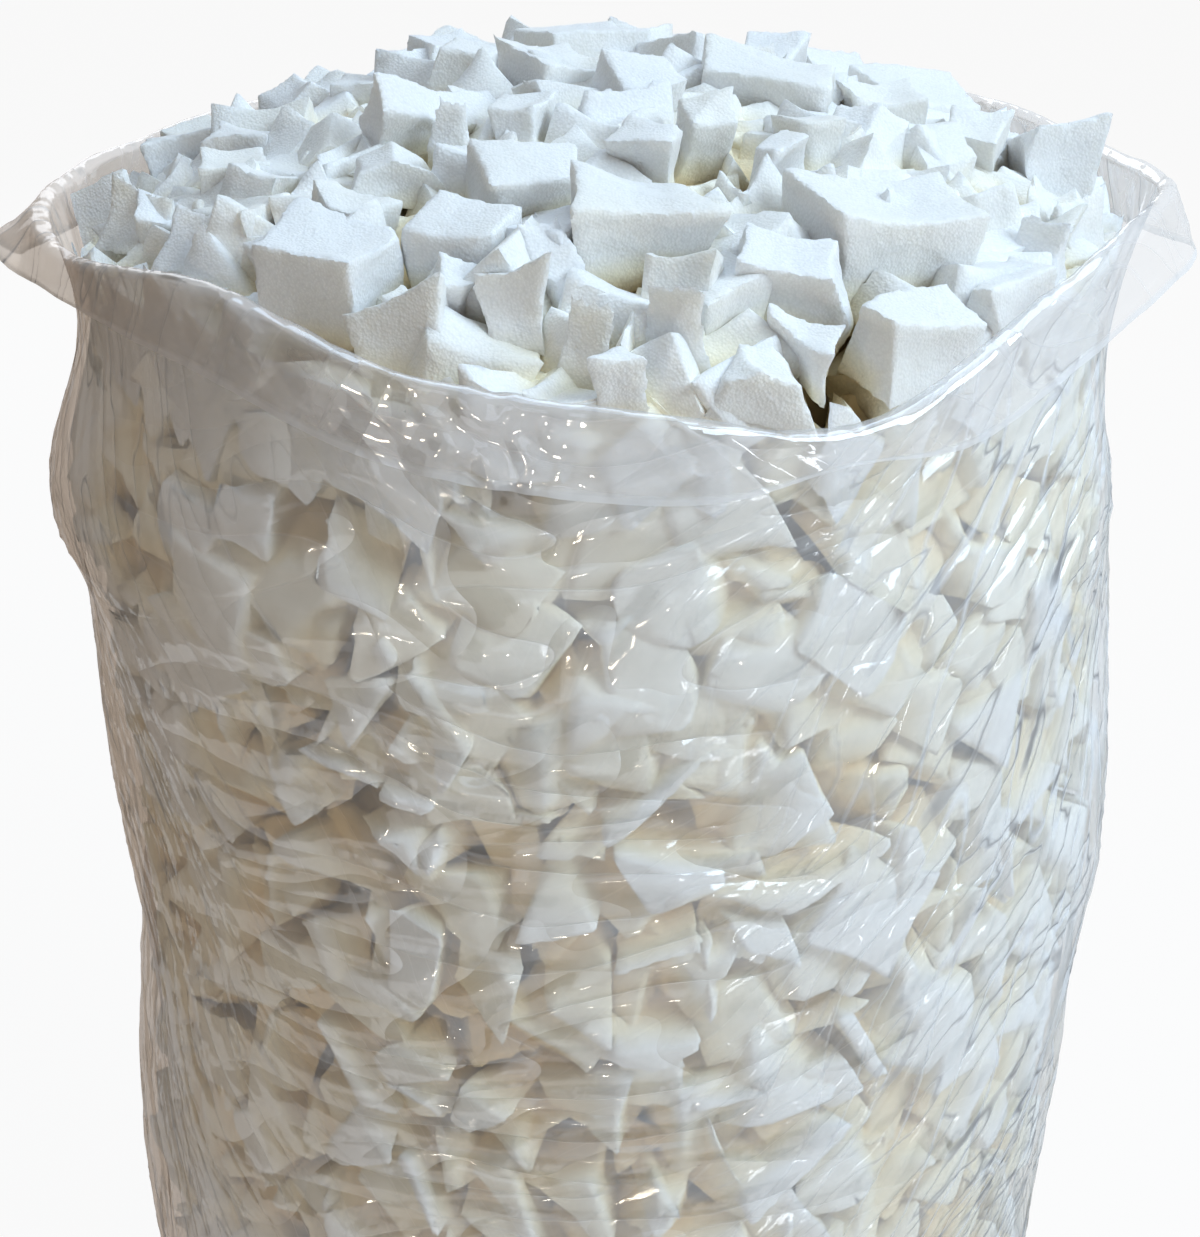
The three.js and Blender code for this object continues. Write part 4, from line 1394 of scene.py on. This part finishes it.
def total(*values):
    """The sum of some values."""
    result = values[0]
    for value in values[1:]:
        result = add_node(tree, "ShaderNodeMath", {0: result, 1: value}, operation="ADD").outputs[0]
    return result


def near_line(value, width, strength):
    """The strength on a fold line, falling to zero at a width beside it."""
    fade = {"Value": value, "From Max": width, "To Min": strength, "To Max": 0.0}
    return add_node(tree, "ShaderNodeMapRange", fade).outputs[0]


right, left, front, cuff = (film_value(name) for name in ("right_side", "left_side", "front_side", "cuff"))
steep_right = fold_lines(62.0, 0.15, 0.026, 3.0)
lean_right = fold_lines(40.0, 0.10, 0.018, 21.0, detail=1.0)
lean_left = fold_lines(118.0, 0.11, 0.016, 25.0, detail=1.0)
level_front = fold_lines(6.0, 0.11, 0.022, 11.0)
pucker_front = fold_lines(20.0, 0.05, 0.028, 17.0)
print("fold lines:", len([node for node in tree.nodes if node.bl_idname == "ShaderNodeTexNoise"]), "noises")

# %% Mix the film's three shaders
fold_height = total(
    weighted(total(steep_right, lean_right), weighted(right, 0.5)),
    weighted(lean_left, weighted(left, 0.2)),
    weighted(total(level_front, pucker_front), weighted(front, 0.75)),
)
film_bump = add_node(tree, "ShaderNodeBump", {"Height": fold_height, "Strength": 1.0, "Distance": 0.028})
rise = add_node(tree, "ShaderNodeFresnel", {"IOR": 1.5, "Normal": film_bump.outputs[0]})
mirror_rise = {"Value": rise.outputs[0], "From Max": 0.6, "To Min": 0.08, "To Max": 0.26}
mirror_share = add_node(tree, "ShaderNodeMapRange", mirror_rise).outputs[0]
# Painted shade: the clear film passes a warmer, darker tone on its left side, which lies in warm shade.
clear_with_left_shade = add_node(tree, "ShaderNodeMix", {"Factor": left}, data_type="RGBA")
clear_with_left_shade.inputs["A"].default_value = (0.94, 0.935, 0.925, 1.0)
clear_with_left_shade.inputs["B"].default_value = (0.91, 0.81, 0.72, 1.0)
clear = add_node(tree, "ShaderNodeBsdfTransparent", {"Color": clear_with_left_shade.outputs["Result"]})
mirror = add_node(
    tree,
    "ShaderNodeBsdfAnisotropic",
    {"Color": (0.96, 0.97, 1.0, 1.0), "Roughness": 0.07, "Normal": film_bump.outputs[0]},
    distribution="GGX",
)
clear_or_mirror = {0: mirror_share, 1: clear.outputs[0], 2: mirror.outputs[0]}
see_through = add_node(tree, "ShaderNodeMixShader", clear_or_mirror)
milk = total(
    weighted(right, 0.18),
    weighted(left, 0.26),
    weighted(front, 0.15),
    weighted(near_line(steep_right, 0.03, 0.55), right),
    weighted(near_line(lean_right, 0.022, 0.6), right),
    weighted(near_line(lean_left, 0.022, 0.35), left),
    weighted(near_line(level_front, 0.02, 0.15), front),
    weighted(cuff, 0.06),
    weighted(film_value("hem"), 0.3),
    weighted(film_value("crease"), 0.1),
)
milk = add_node(tree, "ShaderNodeMath", {0: milk, 1: 0.09}, operation="ADD", use_clamp=True).outputs[0]
# Painted shade: thin dark lines along the folds stand in for the shade and dark reflections in the creases.
crease_shade_right = weighted(near_line(lean_right, 0.018, 0.9), right)
crease_shade_left = weighted(near_line(lean_left, 0.018, 0.8), left)
crease_shade_line = add_node(tree, "ShaderNodeMath", {0: crease_shade_right, 1: crease_shade_left}, use_clamp=True)
haze_with_painted_shade = add_node(tree, "ShaderNodeMix", {"Factor": crease_shade_line.outputs[0]}, data_type="RGBA")
# Painted shade: the haze is warmer and darker on the left side, which lies in warm shade.
haze_with_left_shade = add_node(tree, "ShaderNodeMix", {"Factor": left}, data_type="RGBA")
haze_with_left_shade.inputs["A"].default_value = (0.9, 0.91, 0.93, 1.0)
haze_with_left_shade.inputs["B"].default_value = (0.82, 0.72, 0.64, 1.0)
tree.links.new(haze_with_left_shade.outputs["Result"], haze_with_painted_shade.inputs["A"])
# The colour of the painted crease shade.
haze_with_painted_shade.inputs["B"].default_value = (0.3, 0.29, 0.29, 1.0)
haze = add_node(
    tree, "ShaderNodeBsdfDiffuse", {"Color": haze_with_painted_shade.outputs["Result"], "Normal": film_bump.outputs[0]}
)
film_mix = add_node(tree, "ShaderNodeMixShader", {0: milk, 1: see_through.outputs[0], 2: haze.outputs[0]})
tree.links.new(film_mix.outputs[0], film_output.inputs["Surface"])
print("film material:", len(tree.nodes), "nodes")

# %% [markdown]
# The film lets lamp light and bounced light through to the foam as if it weren't there, which also saves
# most of the render's time.

# %% Make the film
film = add_piece("film", film_mesh(), film_paint)
film.visible_shadow = False
film.visible_diffuse = False
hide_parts("film_sack")
print("film faces:", len(film.data.polygons))
